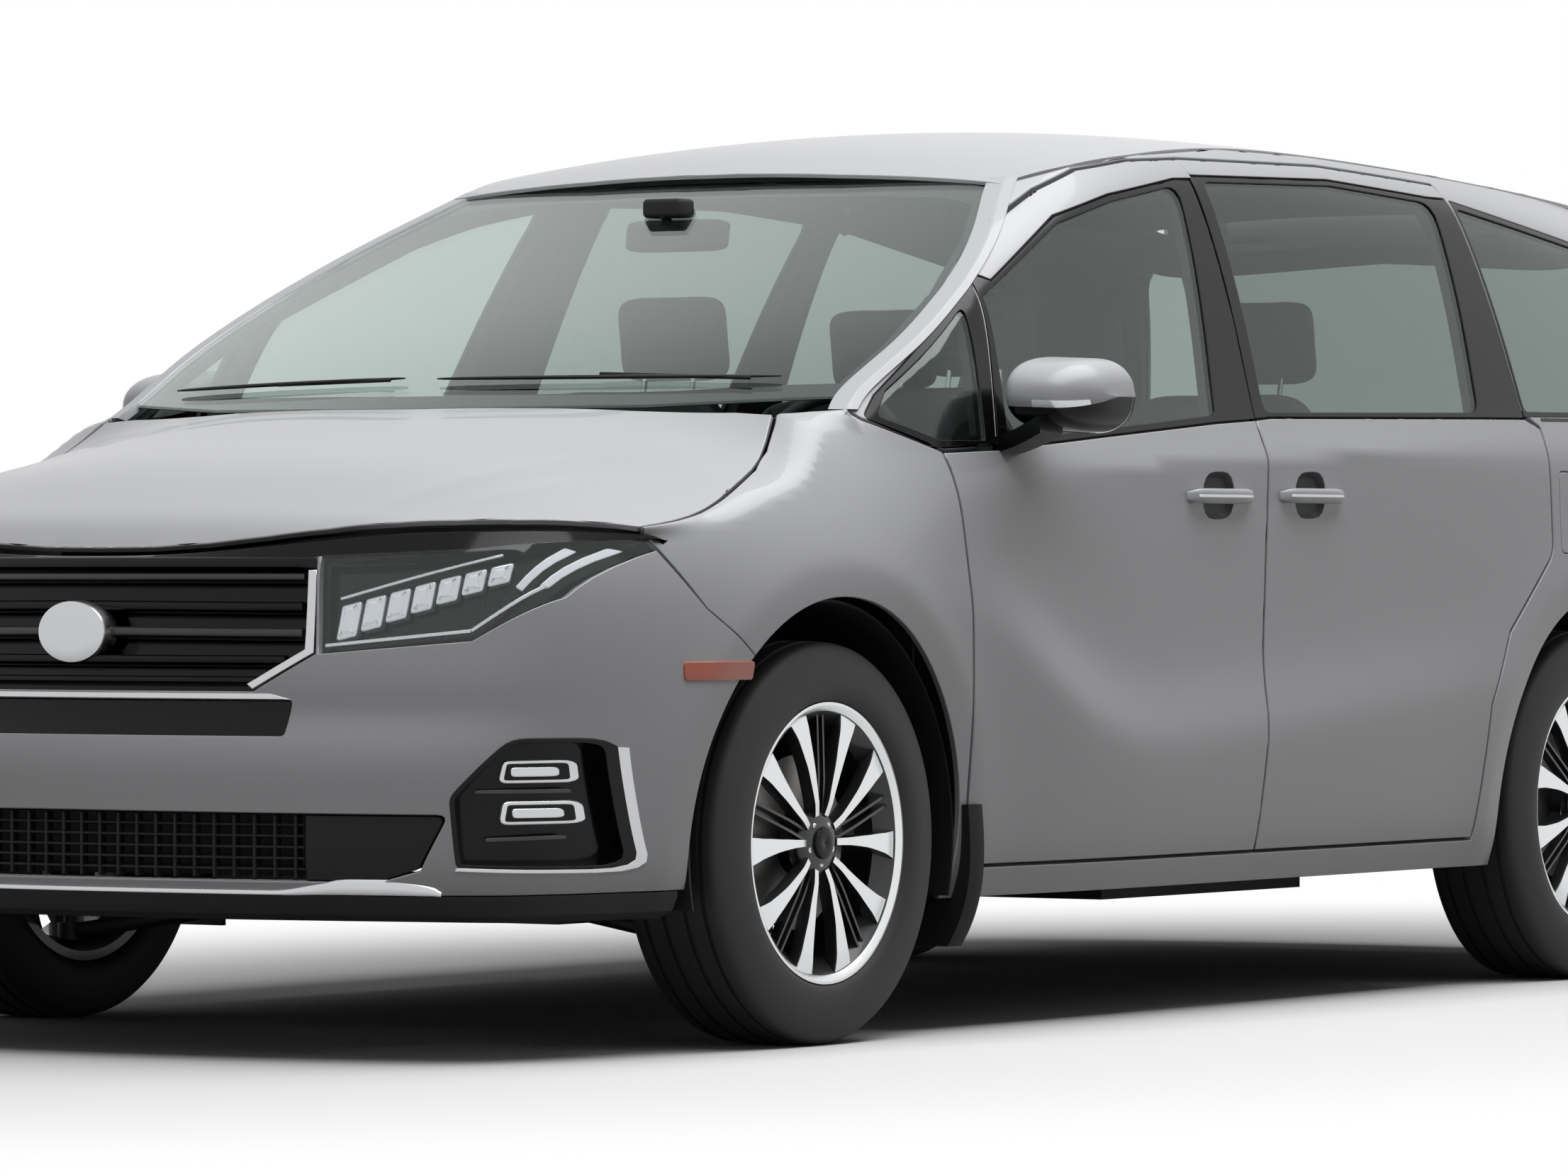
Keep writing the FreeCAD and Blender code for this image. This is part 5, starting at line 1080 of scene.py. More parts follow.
rear_side = np.array([(-551, 935), (-420, 800), (-289, 715), (-190, 604), (-100, 500)], float)
rear_s = u_of_side(rear_side[:, 0], rear_side[:, 1]) - NOSE_END
bumper_rear = list(zip(rear_s - 0.6, rear_side[:, 1]))
low_s = float(u_of_side(-100, BUMPER_FOOT)[0] - NOSE_END)
top_s = s_of_front([480, 760, 940], [893, 906, 928])
bumper_top = [(top_s[2], 929), (top_s[1], 906), (top_s[0], 894), (0, 891)]
bumper_loop = np.array(whole([(0, BUMPER_FOOT), (low_s, BUMPER_FOOT)] + bumper_rear[::-1] + bumper_top))
wheel_cut = from_side(circle(0, HUB_Z, ARCH)) - (NOSE_END, 0)


def flipped(loop):
    """The right-hand copy of an outline."""
    return loop[::-1] * (-1, 1)


nose_cuts = [from_front(whole(grille_line)), from_front(whole(slot_line)), from_front(whole(intake_line))]
for line in (lamp_line, bezel_line):
    nose_cuts += [from_front(line), flipped(from_front(line))]
nose_cuts += [wheel_cut, flipped(wheel_cut)]
bumper = plate(nose, bumper_loop, nose_cuts, step=20, depth=16, edge=2.5)
marker = plate(skin, from_side([(-490, 672, 8), (-296, 672, 8), (-291, 706, 8), (-490, 706, 8)]),
               step=16, top=3, depth=6, edge=2.0, finish="amber")
show("front_bumper_skin", [bumper] + both([marker]), "body", ["front_bumper"])


def nose_plate(line, by=0.0, **more):
    """A plate in the nose, drawn in x and z; its right-hand copy is made with both()."""
    return plate(nose, from_front(line, by), **more)


# %% Grille
grille_back = nose_plate(whole(grille_line), -1, step=40, top=-40, depth=46, edge=1, finish="gloss_black")
brow = nose_plate(whole([(0, 873), (440, 873), (487, 870), (480, 896), (0, 896)]), -1, step=24, top=0,
                  depth=40, edge=6, finish="gloss_black")
brow_x = np.linspace(-935, 935, 120)
brow_half = np.abs(brow_x)
edge_back = hood_front_y(brow_half)
edge_high = hood(brow_x, edge_back)[:, 2]
brow_low = np.interp(brow_half, [0, 480, 760, 935], [888, 890, 903, 926])
brow_face = nose(np.sign(brow_x) * s_of_front(brow_half, brow_low), brow_low)
brow_face[:, 1] = np.minimum(brow_face[:, 1] + 3, edge_back - 1)
brow_up = np.stack([
    brow_x, brow_face[:, 1] * 0.75 + edge_back * 0.25 + 2, brow_low * 0.25 + (edge_high - 12) * 0.75], 1)
brow_in = np.stack([brow_x, edge_back + 4, edge_high - 14], 1)
brow_deep = np.stack([brow_x, edge_back + 60, edge_high - 26], 1)
brow_back = np.stack([brow_x, edge_back + 60, edge_high - 60], 1)
brow_under = brow_face + (0, 50, -4)
brow_ring = np.stack([brow_face, brow_up, brow_in, brow_deep, brow_back, brow_under], 1)
ledge = lattice(brow_ring, "gloss_black", round_b=True, caps=True)
frame_side = [nose_plate([(466, 870), (482, 870), (496, 724), (384, 659), (372, 668), (478, 730)],
                         step=20, top=0, depth=40, edge=2, finish="satin")]


def bar(z, high, out, half, finish, wave=0.0):
    """A grille bar: an oval section carried across the nose at a height, ending at a half width."""
    x = np.linspace(-half, half, 90)
    s = np.sign(x) * s_of_front(np.abs(x), np.full(90, z))
    height = z + wave * np.cos(x / half * np.pi)
    base = nose(s, height)
    n = normal(nose, np.stack([s, height], 1))
    a = np.linspace(0, 2 * np.pi, 16, endpoint=False)
    ring_n = np.sign(np.cos(a)) * np.abs(np.cos(a)) ** 0.7 * 18 - 14 + out
    ring_z = np.sign(np.sin(a)) * np.abs(np.sin(a)) ** 0.7 * high / 2
    points = base[:, None] + n[:, None] * ring_n[None, :, None]
    points[..., 2] += ring_z
    return lattice(points, finish, round_b=True, caps=True)


def grille_half(z):
    """Half width of the grille at a height."""
    return float(np.interp(z, [655, 722, 832, 897], [380, 494, 480, 474]))


bars = [bar(858, 16, -4, grille_half(858) - 18, "rim_dark"),
        bar(806, 20, -2, grille_half(806) - 20, "gloss_black", 1),
        bar(760, 20, -2, grille_half(760) - 20, "rim_dark", 1),
        bar(712, 18, -4, grille_half(712) - 36, "gloss_black"),
        bar(676, 14, -6, grille_half(676) - 28, "gloss_black")]
PLAQUE_Z = 759.0
PLAQUE_WIDE, PLAQUE_HIGH = 76.0, 56.0  # half sizes of the blank oval in the middle
a = np.linspace(0, 2 * np.pi, 48, endpoint=False)
r = np.array([0.5, 0.85, 0.97, 1.0, 1.0])[:, None]
rise = np.array([23.0, 20.0, 17.0, 12.0, -20.0])[:, None]
face_y = nose(np.array([0.0]), np.array([PLAQUE_Z]))[0, 1]
plaque_points = np.stack([
    PLAQUE_WIDE * r * np.cos(a), face_y - rise + 0 * a, PLAQUE_Z + PLAQUE_HIGH * r * np.sin(a)], -1)
plaque = lattice(plaque_points, "satin", round_b=True, caps=True)
show("grille_bars", [grille_back, brow, ledge] + both(frame_side) + bars + [plaque], "body", ["grille"])

# %% Lower grille, slot and lip
slot_back = nose_plate(whole(slot_line), -1, step=30, top=-8, depth=30, edge=2, finish="gloss_black")
silver_line = nose_plate(whole([(0, 641), (462, 641), (420, 652), (0, 652)]), -0.5, step=24, top=1,
                         depth=12, edge=1.5, finish="satin")
intake_back = nose_plate(whole(intake_line), -1, step=40, top=-46, depth=54, edge=1, finish="black_plastic")
intake_side = nose_plate([(505, 323), (640, 323, 10), (708, 344, 10), (756, 438, 12), (505, 438)],
                         step=24, top=-4, depth=30, edge=2, finish="black_plastic")
mesh_bars = [bar(z, 6, -16, 500, "black_plastic") for z in (341, 361, 381, 401, 421)]
for x in np.arange(-480, 481, 40.0):
    s_at = np.sign(x) * s_of_front(abs(x), [381.0])[0]
    at = nose(s_at, 381.0)
    mesh_bars.append(block((at[0] - 3, at[0] + 3), (at[1] + 12, at[1] + 30), (326, 438), "black_plastic", 2))
lip_rows = np.linspace(-1, 1, 120)
lip_s = lip_rows * float(u_of_side(-466, 280)[0] - NOSE_END)
lip_profile = np.array([
    (297, 0), (288, 3), (262, 0), (240, -22), (232, -40), (240, -60), (262, -40), (290, -22)], float)
lip_base = nose(lip_s[:, None] + 0 * lip_profile[:, 0], lip_profile[:, 0] + 0 * lip_s[:, None])
lip_normal = normal(nose, np.stack([lip_s, np.full(120, 280.0)], 1))
lip_points = lip_base + lip_normal[:, None] * lip_profile[None, :, 1:]
lip = lattice(lip_points, "black_plastic", round_b=True, caps=True)
chrome_rows = np.linspace(-1, 1, 120) * float(s_of_front(742, [300.0])[0])
lip_share = np.abs(chrome_rows) / chrome_rows[-1]
thick = np.clip((lip_share - 0.58) / 0.2, 0, 1)
swell = thick ** 2 * (3 - 2 * thick) * np.clip((1 - lip_share) / 0.12, 0, 1) ** 0.5
chrome_z = 301 + 2 * swell
chrome_high = 5 + 9 * swell
chrome_base = nose(chrome_rows, chrome_z)
chrome_n = normal(nose, np.stack([chrome_rows, chrome_z], 1))
turn = np.linspace(0, 2 * np.pi, 14, endpoint=False)
chrome_points = chrome_base[:, None] + chrome_n[:, None] * (np.cos(turn) * 6 + 1)[None, :, None]
chrome_points[..., 2] += np.sin(turn)[None] * chrome_high[:, None] + (chrome_high - 4)[:, None]
chrome_lip = lattice(chrome_points, "satin", round_b=True, caps=True)
lower_parts = [slot_back, silver_line, intake_back] + both([intake_side]) + mesh_bars + [lip, chrome_lip]
show("lower_grille_parts", lower_parts, "body", ["lower_grille"])

# %% Headlamps
lamp_back = nose_plate(lamp_line, -1, step=30, top=-44, depth=56, edge=1, finish="gloss_black")
lamp_lens = nose_plate(lamp_line, -1, step=24, top=-1, depth=3, edge=1.0, finish="lens")
lamp_parts = [lamp_back, lamp_lens]


def slanted(p, q, width, radius):
    """The outline of a slanted strip between two points of the nose in x and z, its corners rounded."""
    p, q = np.array(p, float), np.array(q, float)
    run = (q - p) / np.linalg.norm(q - p)
    side = np.array([-run[1], run[0]]) * width / 2
    return [(*corner, radius) for corner in (p - side, q - side, q + side, p + side)]


cell_x = np.linspace(548, 812, 7)
for i, x in enumerate(cell_x):
    middle_z = 782 + (x - 545) * 0.31
    tall = 64 - 4.0 * i
    cell = [(x - 21, middle_z - tall / 2 - 5, 7), (x + 18, middle_z - tall / 2 + 5, 7),
            (x + 22, middle_z + tall / 2 + 5, 7), (x - 17, middle_z + tall / 2 - 5, 7)]
    bowl = nose_plate(cell, 0, step=12, top=-14, depth=34, edge=5, finish="lamp_clear")
    lens_dot = nose_plate(cell, -10, step=8, top=-9, depth=16, edge=3, finish="lamp_bar")
    lamp_parts += [bowl, lens_dot]
for p, q, width, kind in (((512, 738), (775, 764), 7, "satin"), ((530, 820), (812, 900), 6, "satin"),
                          ((775, 764), (880, 842), 7, "satin"),
                          ((846, 838), (892, 908), 13, "lamp_bar"), ((880, 842), (918, 908), 11, "lamp_bar")):
    lamp_parts.append(nose_plate(slanted(p, q, width, 2), 0, step=12, top=-8, depth=18, edge=2, finish=kind))
show("headlamp_parts", both(lamp_parts), "body", ["headlamps"])

# %% Fog lamps
fog_back = nose_plate(bezel_line, -1, step=24, top=-34, depth=50, edge=2, finish="gloss_black")
fog_rim = nose_plate(bezel_line, 1.5, cut=[from_front(bezel_line, -7)], step=14, top=1.5, depth=34, edge=2,
                     finish="gloss_black")
fog_line = nose_plate([(768, 342), (941, 334, 30), (941, 556), (935, 556), (935, 341, 27), (772, 348)],
                      0, step=14, top=2, depth=8, edge=1, finish="satin")
fog_parts = [fog_back, fog_rim, fog_line]
for z0 in (515, 442):
    box_line = [(835, z0 - 22, 12), (915, z0 - 22, 12), (915, z0 + 22, 12), (842, z0 + 22, 12)]
    fog_parts.append(nose_plate(box_line, 0, step=12, top=-16, depth=34, edge=5, finish="lamp_clear"))
    fog_parts.append(nose_plate(box_line, -7, step=12, top=-12, depth=20, edge=3, finish="gloss_black"))
    fog_parts.append(nose_plate(slanted((852, z0), (900, z0), 18, 6), 0, step=8, top=-9, depth=16, edge=3,
                                finish="lamp_clear"))
for p, q in (((800, 480), (908, 480)), ((815, 395), (900, 398))):
    slat_line = slanted(p, q, 8, 3)
    fog_parts.append(nose_plate(slat_line, 0, step=12, top=-14, depth=26, edge=2, finish="rim_dark"))
show("fog_lamp_parts", both(fog_parts), "body", ["fog_lamps"])

# %% [markdown]
# ## Wheels
# A tyre is a profile turned about its axle, with four grooves in the tread. The wheel's ten blades are
# bright where they were machined and dark in the pockets between them. Everything is made once about a
# wheel's own axle and then placed four times.

# %% Turned shapes
TRACK = 1710.0


def turned(profile, finish, count=96, closed=True):
    """A profile of (along the axle, radius) turned about the axle."""
    profile = np.asarray(profile, float)
    a = np.linspace(0, 2 * np.pi, count, endpoint=False)[:, None]
    points = np.stack([profile[:, 0] + 0 * a, profile[:, 1] * np.sin(a), profile[:, 1] * np.cos(a)], -1)
    return lattice(points, finish, round_a=True, round_b=closed)


def smoothed(points, rounds=2):
    """A closed profile with its corners cut again and again, each time at a quarter of every side."""
    p = np.asarray(points, float)
    for _ in range(rounds):
        q = np.roll(p, -1, 0)
        p = np.stack([p * 0.75 + q * 0.25, p * 0.25 + q * 0.75], 1).reshape(-1, 2)
    return p


# %% Tyre
TYRE_RADIUS = 370
TREAD_HALF = 98
TREAD_DROP = 2.2  # how much lower the tread is at its edge
GROOVES = (-66, -24, 24, 66)


def tread_profile():
    """Round shoulders, a belly, and four grooves in a tread that falls off by the square of x."""
    crown = []
    for g in GROOVES:
        crown += [(g - 5.5, 0), (g - 4.5, -7.5), (g + 4.5, -7.5), (g + 5.5, 0)]
    x, dip = np.array(crown, float).T
    tread = np.stack([x, TYRE_RADIUS - TREAD_DROP * np.square(x / TREAD_HALF) + dip], 1)
    half = [(84, 367.9), (94, 365.2), (101, 360), (106, 351), (110, 340), (114.5, 325), (117, 305),
            (117.5, 290), (115.5, 276), (112, 268), (106, 262), (100, 258.6), (95.5, 257.5), (95.5, 250),
            (92, 245.5)]
    half = np.array(half, float)
    left = half[::-1] * (-1, 1)
    inner = np.array([(88, 244.5), (60, 262), (0, 350), (-60, 262), (-88, 244.5)], float)
    return np.concatenate([left, tread, half, inner])


tyre_parts = [turned(tread_profile(), "rubber", 128)]

# %% Wheel
barrel = turned([
    (-103, 258), (-96, 258), (-95, 245), (-60, 240), (-40, 222), (60, 222), (84, 238), (95, 245), (96, 258),
    (103, 258), (103.5, 252), (100, 247), (88, 236), (64, 214), (-44, 214), (-64, 232), (-103, 240)],
    "rim_dark", 96)
lip_ring = turned([
    (101, 258.5), (104, 258), (104.5, 253), (101, 247), (96, 242), (96, 246), (100, 251)], "machined", 96)
disc = turned([(30, 60), (30, 160), (22, 160), (22, 60)], "disc_steel", 72)
hub = turned(smoothed([(50, 0.1), (50, 62), (74, 66), (86, 58), (92, 34), (93, 0.1)], 2), "rim_dark", 48)
cap = turned(smoothed([(88, 0.1), (88, 30), (97, 30), (99, 24), (99.5, 0.1)], 1), "gloss_black", 48)


def blade(angle, twist):
    """A blade and its bright face: a flat-topped section that widens outwards and leans with a twist."""
    t = np.linspace(0, 1, 16)
    radius = 52 + t * 194
    half = np.interp(t, [0, 0.2, 0.5, 0.8, 1.0], [6.5, 7.5, 12.0, 20.0, 29.0])
    lean = np.radians(twist) * t ** 1.4
    front = np.interp(t, [0, 0.12, 0.5, 0.85, 1.0], [90, 95, 98, 97, 93])
    section = np.array([(-1, -3), (-0.94, 0), (0.94, 0), (1, -3), (0.9, -26), (-0.9, -26)], float)
    tangential = half[:, None] * section[:, 0]
    axial = front[:, None] + section[:, 1]
    a = np.radians(angle) + lean[:, None] + tangential / radius[:, None]
    points = np.stack([axial, radius[:, None] * np.sin(a), radius[:, None] * np.cos(a)], -1)
    dark = lattice(points, "rim_dark", round_b=True, caps=True)
    face = points[:, 1:3] + (0.4, 0, 0)
    back = points[:, 1:3] - (1.2, 0, 0)
    bright = lattice(np.concatenate([face, back[:, ::-1]], 1), "machined", round_b=True, caps=True)
    return [dark, bright]


def rib(angle, offset):
    """A thin dark rib standing between two blades."""
    t = np.linspace(0, 1, 10)
    radius = 56 + t * 188
    a = np.radians(angle) + (offset / radius)[:, None] + np.array([-2.6, 2.6, 2.0, -2.0]) / radius[:, None]
    axial = np.interp(t, [0, 0.3, 1], [86, 90, 86])[:, None] + np.array([0, 0, -22, -22])
    points = np.stack([axial, radius[:, None] * np.sin(a), radius[:, None] * np.cos(a)], -1)
    return lattice(points, "rim_dark", round_b=True, caps=True)


FIFTH = 72  # degrees; the wheel repeats five times, with a pair of blades, a pair of ribs and a bolt each
BOLT_CIRCLE = 38.0
wheel_parts = [barrel, lip_ring, disc, hub, cap]
for k in range(5):
    wheel_parts += blade(FIFTH * k + 17, 3.5) + blade(FIFTH * k + 55, -3.5)
    wheel_parts += [rib(FIFTH * k, -9), rib(FIFTH * k, 9)]
for k in range(5):
    a = np.radians(FIFTH * (k + 0.5))
    bolt = turned(smoothed([(80, 0.1), (80, 9), (90, 8), (91, 0.1)], 1), "satin", 12)
    bolt["verts"] = bolt["verts"] + (0, BOLT_CIRCLE * np.sin(a), BOLT_CIRCLE * np.cos(a))
    wheel_parts.append(bolt)


def set_wheel(parts, side, station, turn):
    """Parts about the axle, turned and set at a wheel's place; the right side is the left one mirrored."""
    c, s = np.cos(np.radians(turn)), np.sin(np.radians(turn))
    out = []
    for p in parts:
        v = p["verts"]
        y = v[:, 1] * c + v[:, 2] * s
        z = -v[:, 1] * s + v[:, 2] * c
        out.append(dict(p, verts=np.stack([v[:, 0] + TRACK / 2, y + station, z + HUB_Z], 1)))
    return out if side > 0 else [mirrored(p) for p in out]


for station, end, turn in ((0.0, "front", 0), (WHEELBASE, "rear", 18)):
    for side, hand in ((1, "left"), (-1, "right")):
        place = "%s_%s" % (end, hand)
        body = "wheel_" + place
        show("tyre_%s_tread" % place, set_wheel(tyre_parts, side, station, turn), body, ["tyre_" + place])
        show("rim_%s_blades" % place, set_wheel(wheel_parts, side, station, turn), body, ["rim_" + place])


# %% [markdown]
# ## The tail
# The tailgate, the lamps beside it, the corner posts and the bumper are cut from the skin as the nose is.
# The photograph doesn't show the tail, so it follows what such vans have: a deep window, lamps that wrap
# round the corners, a handle strip over the plate's place, and a roof spoiler swept forward at its tips.

# %% Tailgate
gate_line = [
    (0, 652), (640, 652, 20), (690, 760), (700, 905), (770, 985), (790, 1180), (760, 1300), (655, 1590),
    (560, 1640), (0, 1640)]
gate_glass_line = [(0, 1165), (700, 1165, 60), (600, 1560, 60), (0, 1585)]
tail_lamp_line = [(700, 905), (690, 800), (1000, 800), (1000, 1100), (790, 1180), (770, 985)]
gate_lower = [(0, 652), (640, 652, 20), (690, 760), (700, 905), (770, 985), (788, 1150), (0, 1150)]
gate_upper = [(0, 1153), (788, 1153), (790, 1180), (760, 1300), (655, 1590), (560, 1640), (0, 1640)]
plate_place = [(-290, 765, 18), (290, 765, 18), (290, 915, 18), (-290, 915, 18)]
gate_metal = plate(
    tail, from_back(whole(gate_lower), -SHUT), [from_back(plate_place)], step=28, depth=20, edge=2.5)
gate_frame = plate(
    tail, from_back(whole(gate_upper), -SHUT), [from_back(whole(gate_glass_line))],
    step=28, top=-1, depth=20, edge=2.5, finish="gloss_black")
gate_inner = plate(
    tail, from_back(whole(gate_line), -SHUT - 6), [from_back(whole(gate_glass_line), 6)],
    step=44, top=-20, depth=54, edge=2, finish="trim")
plate_recess = plate(
    tail, from_back(plate_place, 6), step=40, top=-14, depth=20, edge=1, finish="black_plastic")
strip = plate(
    tail, from_back([(-330, 925, 8), (330, 925, 8), (330, 962, 8), (-330, 962, 8)]),
    step=24, top=10, depth=10, edge=5, finish="chrome")


# %% Spoiler
SPOILER_ROOT = 3766  # station at which it leaves the roof
SPOILER_LONG = 196
SPOILER_HALF = 554
spoiler_t = np.linspace(-1, 1, 60)[:, None]
spoiler_y, spoiler_z = np.array([
    (SPOILER_ROOT, 1676), (3781, 1685), (3840, 1680), (3930, 1667), (3962, 1652), (3958, 1645), (3930, 1640),
    (3840, 1629), (3812, 1602), (SPOILER_ROOT, 1602)], float).T
spoiler_out = spoiler_y - SPOILER_ROOT
sweep = -34 * np.abs(spoiler_t) ** 4
drop = -8 * np.abs(spoiler_t) ** 3
spoiler_points = np.stack([
    spoiler_t * SPOILER_HALF + 0 * spoiler_y, SPOILER_ROOT + spoiler_out * (1 + sweep / SPOILER_LONG),
    spoiler_z + drop * spoiler_out / SPOILER_LONG], -1)
spoiler = lattice(spoiler_points, "paint", round_b=True, caps=True)
# The hinge arms take the darker copy of the paint: painted shade
hinge_arms = [block((402 * k, 422 * k), (3748, 3790), (1660, 1683), "paint_under", 4) for k in (1, -1)]
gate_parts = [gate_metal, gate_frame, gate_inner, plate_recess, strip, spoiler] + hinge_arms
show("tailgate_skin", gate_parts, "tailgate", ["tailgate"])
gate_pane = plate(tail, from_back(whole(gate_glass_line), -0.5), step=36, top=-5, depth=9.5, edge=0.5,
                  finish="privacy_glass")
show("tailgate_window", [gate_pane], "tailgate", ["tailgate_glass"])

# %% Corner posts and tail lamps
POST_Y = 3427.0  # station at which the body side ends
ROOF_END = 3738


def u_at(y, z):
    """The skin's u at stations and heights of the rear half."""
    return found(lambda u: skin(u, z)[:, 1], y, 2500, TAIL_END - 5)


post_heights = np.linspace(652, 1638, 50)
gate_half = np.interp(post_heights, [p[1] for p in gate_line[1:-1]], [p[0] + SHUT for p in gate_line[1:-1]])
inner_u = TAIL_END - found(lambda s: skin(TAIL_END - s, post_heights)[:, 0], gate_half, 0, BACK_REACH)
outer_u = u_at(np.full(50, POST_Y), post_heights)
top_y = np.linspace(POST_Y, ROOF_END, 14)
top_z = roof_edge(top_y)[1] - 3
top_u = u_at(top_y, top_z)
corner_loop = np.concatenate([np.stack([outer_u, post_heights], 1)[:-1], np.stack([top_u, top_z], 1),
                              np.stack([inner_u, post_heights], 1)[::-1]])
lamp_loop = from_back(tail_lamp_line)
lamp_loop_u = np.stack([TAIL_END - np.abs(lamp_loop[:, 0]), lamp_loop[:, 1]], 1)
quarter_rear = from_side(quarter_black, 1.0)
corner = plate(skin, corner_loop, [lamp_loop_u, quarter_rear], step=22, depth=30, edge=2.5)
corner_black = plate(skin, from_side([(3427, 1199), (3775, 1205, 60), (3715, 1450, 120), (3427, 1530)], -1),
                     [from_side(quarter_window)], step=20, top=-1.5, depth=12, edge=1, finish="gloss_black")
show("corner_post_skins", both([corner, corner_black]), "body", ["corner_posts"])
lamp_lens_rear = plate(skin, lamp_loop_u, step=22, top=1, depth=6, edge=2, finish="red_lens")
lamp_housing = plate(skin, lamp_loop_u, step=40, top=-8, depth=50, edge=2, finish="black_plastic")
show("tail_lamp_parts", both([lamp_lens_rear, lamp_housing]), "body", ["tail_lamps"])

# %% Rear bumper
rear_reach = TAIL_END - float(u_at(np.array([3322.0]), np.array([450.0]))[0])
rear_loop = np.array([(-rear_reach, 648), (-rear_reach, SILL), (rear_reach, SILL), (rear_reach, 648)], float)
rear_arch = from_side(circle(WHEELBASE, HUB_Z, ARCH))
rear_arch_s = np.stack([TAIL_END - rear_arch[:, 0], rear_arch[:, 1]], 1)
diffuser_line = [(-560, 300, 20), (560, 300, 20), (600, 420, 20), (-600, 420, 20)]
rear_cuts = [rear_arch_s, flipped(rear_arch_s), from_back(diffuser_line)]
rear_cover = plate(tail, rear_loop, rear_cuts, step=26, depth=20, edge=2.5)
diffuser = plate(
    tail, from_back(diffuser_line, -1), step=30, top=-4, depth=20, edge=2, finish="black_plastic")
reflector = plate(
    tail, from_back([(720, 440, 8), (860, 440, 8), (860, 480, 8), (720, 480, 8)]),
    step=16, top=2, depth=8, edge=2, finish="red_lens")
show("rear_bumper_skin", [rear_cover, diffuser] + both([reflector]), "body", ["rear_bumper"])

# %% Side glass
side_panes = [pane(sliding_window, "privacy_glass"), pane(quarter_window, "privacy_glass"),
              pane(small_window, "front_glass", 20)]
show("side_windows", both(side_panes), "body", ["side_glass"])

# %% [markdown]
# ## Mirrors
# A mirror's housing is an egg cut off flat at the back, where its glass sits. Its cap is painted, and its
# lower part and foot are black.

# %% Mirrors
MIRROR_ROOT = 974  # half width at which the housing begins
MIRROR_WIDE = 184
MIRROR_HALF = 71  # half height
MIRROR_DEEP = 178
SPLIT = -0.30  # angle at which the painted cap meets the black base


def mirror_shell(t0, t1, swell=0.0):
    """A stretch of the housing's section, from angle t0 to t1, carried outwards from the door."""
    across = np.linspace(0, 1, 36)
    x = MIRROR_ROOT + across * MIRROR_WIDE
    round_end = np.sqrt(np.clip(1 - np.clip((across - 0.55) / 0.45, 0, 1) ** 2.6, 0, 1))
    round_start = np.sqrt(np.clip(1 - np.clip((0.18 - across) / 0.18, 0, 1) ** 2.2 * 0.6, 0, 1))
    share = round_end * round_start
    middle_z = 1196 + 8 * (1 - across)
    half_z = MIRROR_HALF * share
    nose_y = 560 + 26 * across ** 2
    a = np.linspace(t0, t1, 30)
    back = nose_y + MIRROR_DEEP
    y = back[:, None] - (back - nose_y)[:, None] * np.abs(np.cos(a)) ** 0.75 * (0.35 + 0.65 * share[:, None])
    z = middle_z[:, None] + (half_z[:, None] + swell) * np.sign(np.sin(a)) * np.abs(np.sin(a)) ** 0.85
    return np.stack([x[:, None] + 0 * y, y, z], -1)


def walled(points, finish, wall=4.0):
    """A surface given a thickness towards its own middle."""
    centre = points.reshape(-1, 3).mean(0)
    back = points + unit(centre - points) * wall
    return lattice(np.concatenate([points, back[:, ::-1]], 1), finish, round_b=True, caps=True)


mirror_cap = walled(mirror_shell(SPLIT, np.pi / 2), "paint")
mirror_base = walled(mirror_shell(-np.pi / 2, SPLIT, -1.0), "gloss_black")
back_edge = mirror_shell(-np.pi / 2, np.pi / 2)
upwards = np.linspace(0, 1, 8)[None, :, None]
face = back_edge[:, :1] * (1 - upwards) + back_edge[:, -1:] * upwards
face[..., 1] -= 8
mirror_face = walled(face, "chrome", 3.0)
foot_t = np.linspace(0, 1, 12)
foot_profile = np.array([(0, -34, -16), (0, 30, -20), (0, 40, 0), (0, 30, 18), (0, -34, 14)], float)
foot_centre = np.stack([944 + foot_t * 110, 628 + 0 * foot_t, 1106 + 40 * foot_t ** 1.4], 1)
foot_points = foot_centre[:, None] + foot_profile * (1 + 0.2 * foot_t[:, None, None])
foot = lattice(foot_points, "gloss_black", round_b=True, caps=True)
blinker_points = mirror_shell(SPLIT, -0.12)[14:-3]
blinker = walled(blinker_points + (0.8, -0.8, 0), "lamp_clear", 3.0)
mirror_parts = [mirror_cap, mirror_base, mirror_face, foot, blinker]
show("mirror_left_shell", mirror_parts, "front_door_left", ["mirror_left"])
show("mirror_right_shell", [mirrored(p) for p in mirror_parts], "front_door_right", ["mirror_right"])

# %% [markdown]
# ## Cabin
# Through the glass one sees seat backs, head restraints, the wheel and the inner mirror against the
# windows of the far side. A seat pad is foam under a stretched cover: crowned in the middle, drawn in
# between its corners, with sewn channels. One formula makes all of them, a ball pushed out towards a box.

# %% Seats
def softer(value, power):
    """A signed power: it pushes a circle out towards a square."""
    return np.sign(value) * np.abs(value) ** power


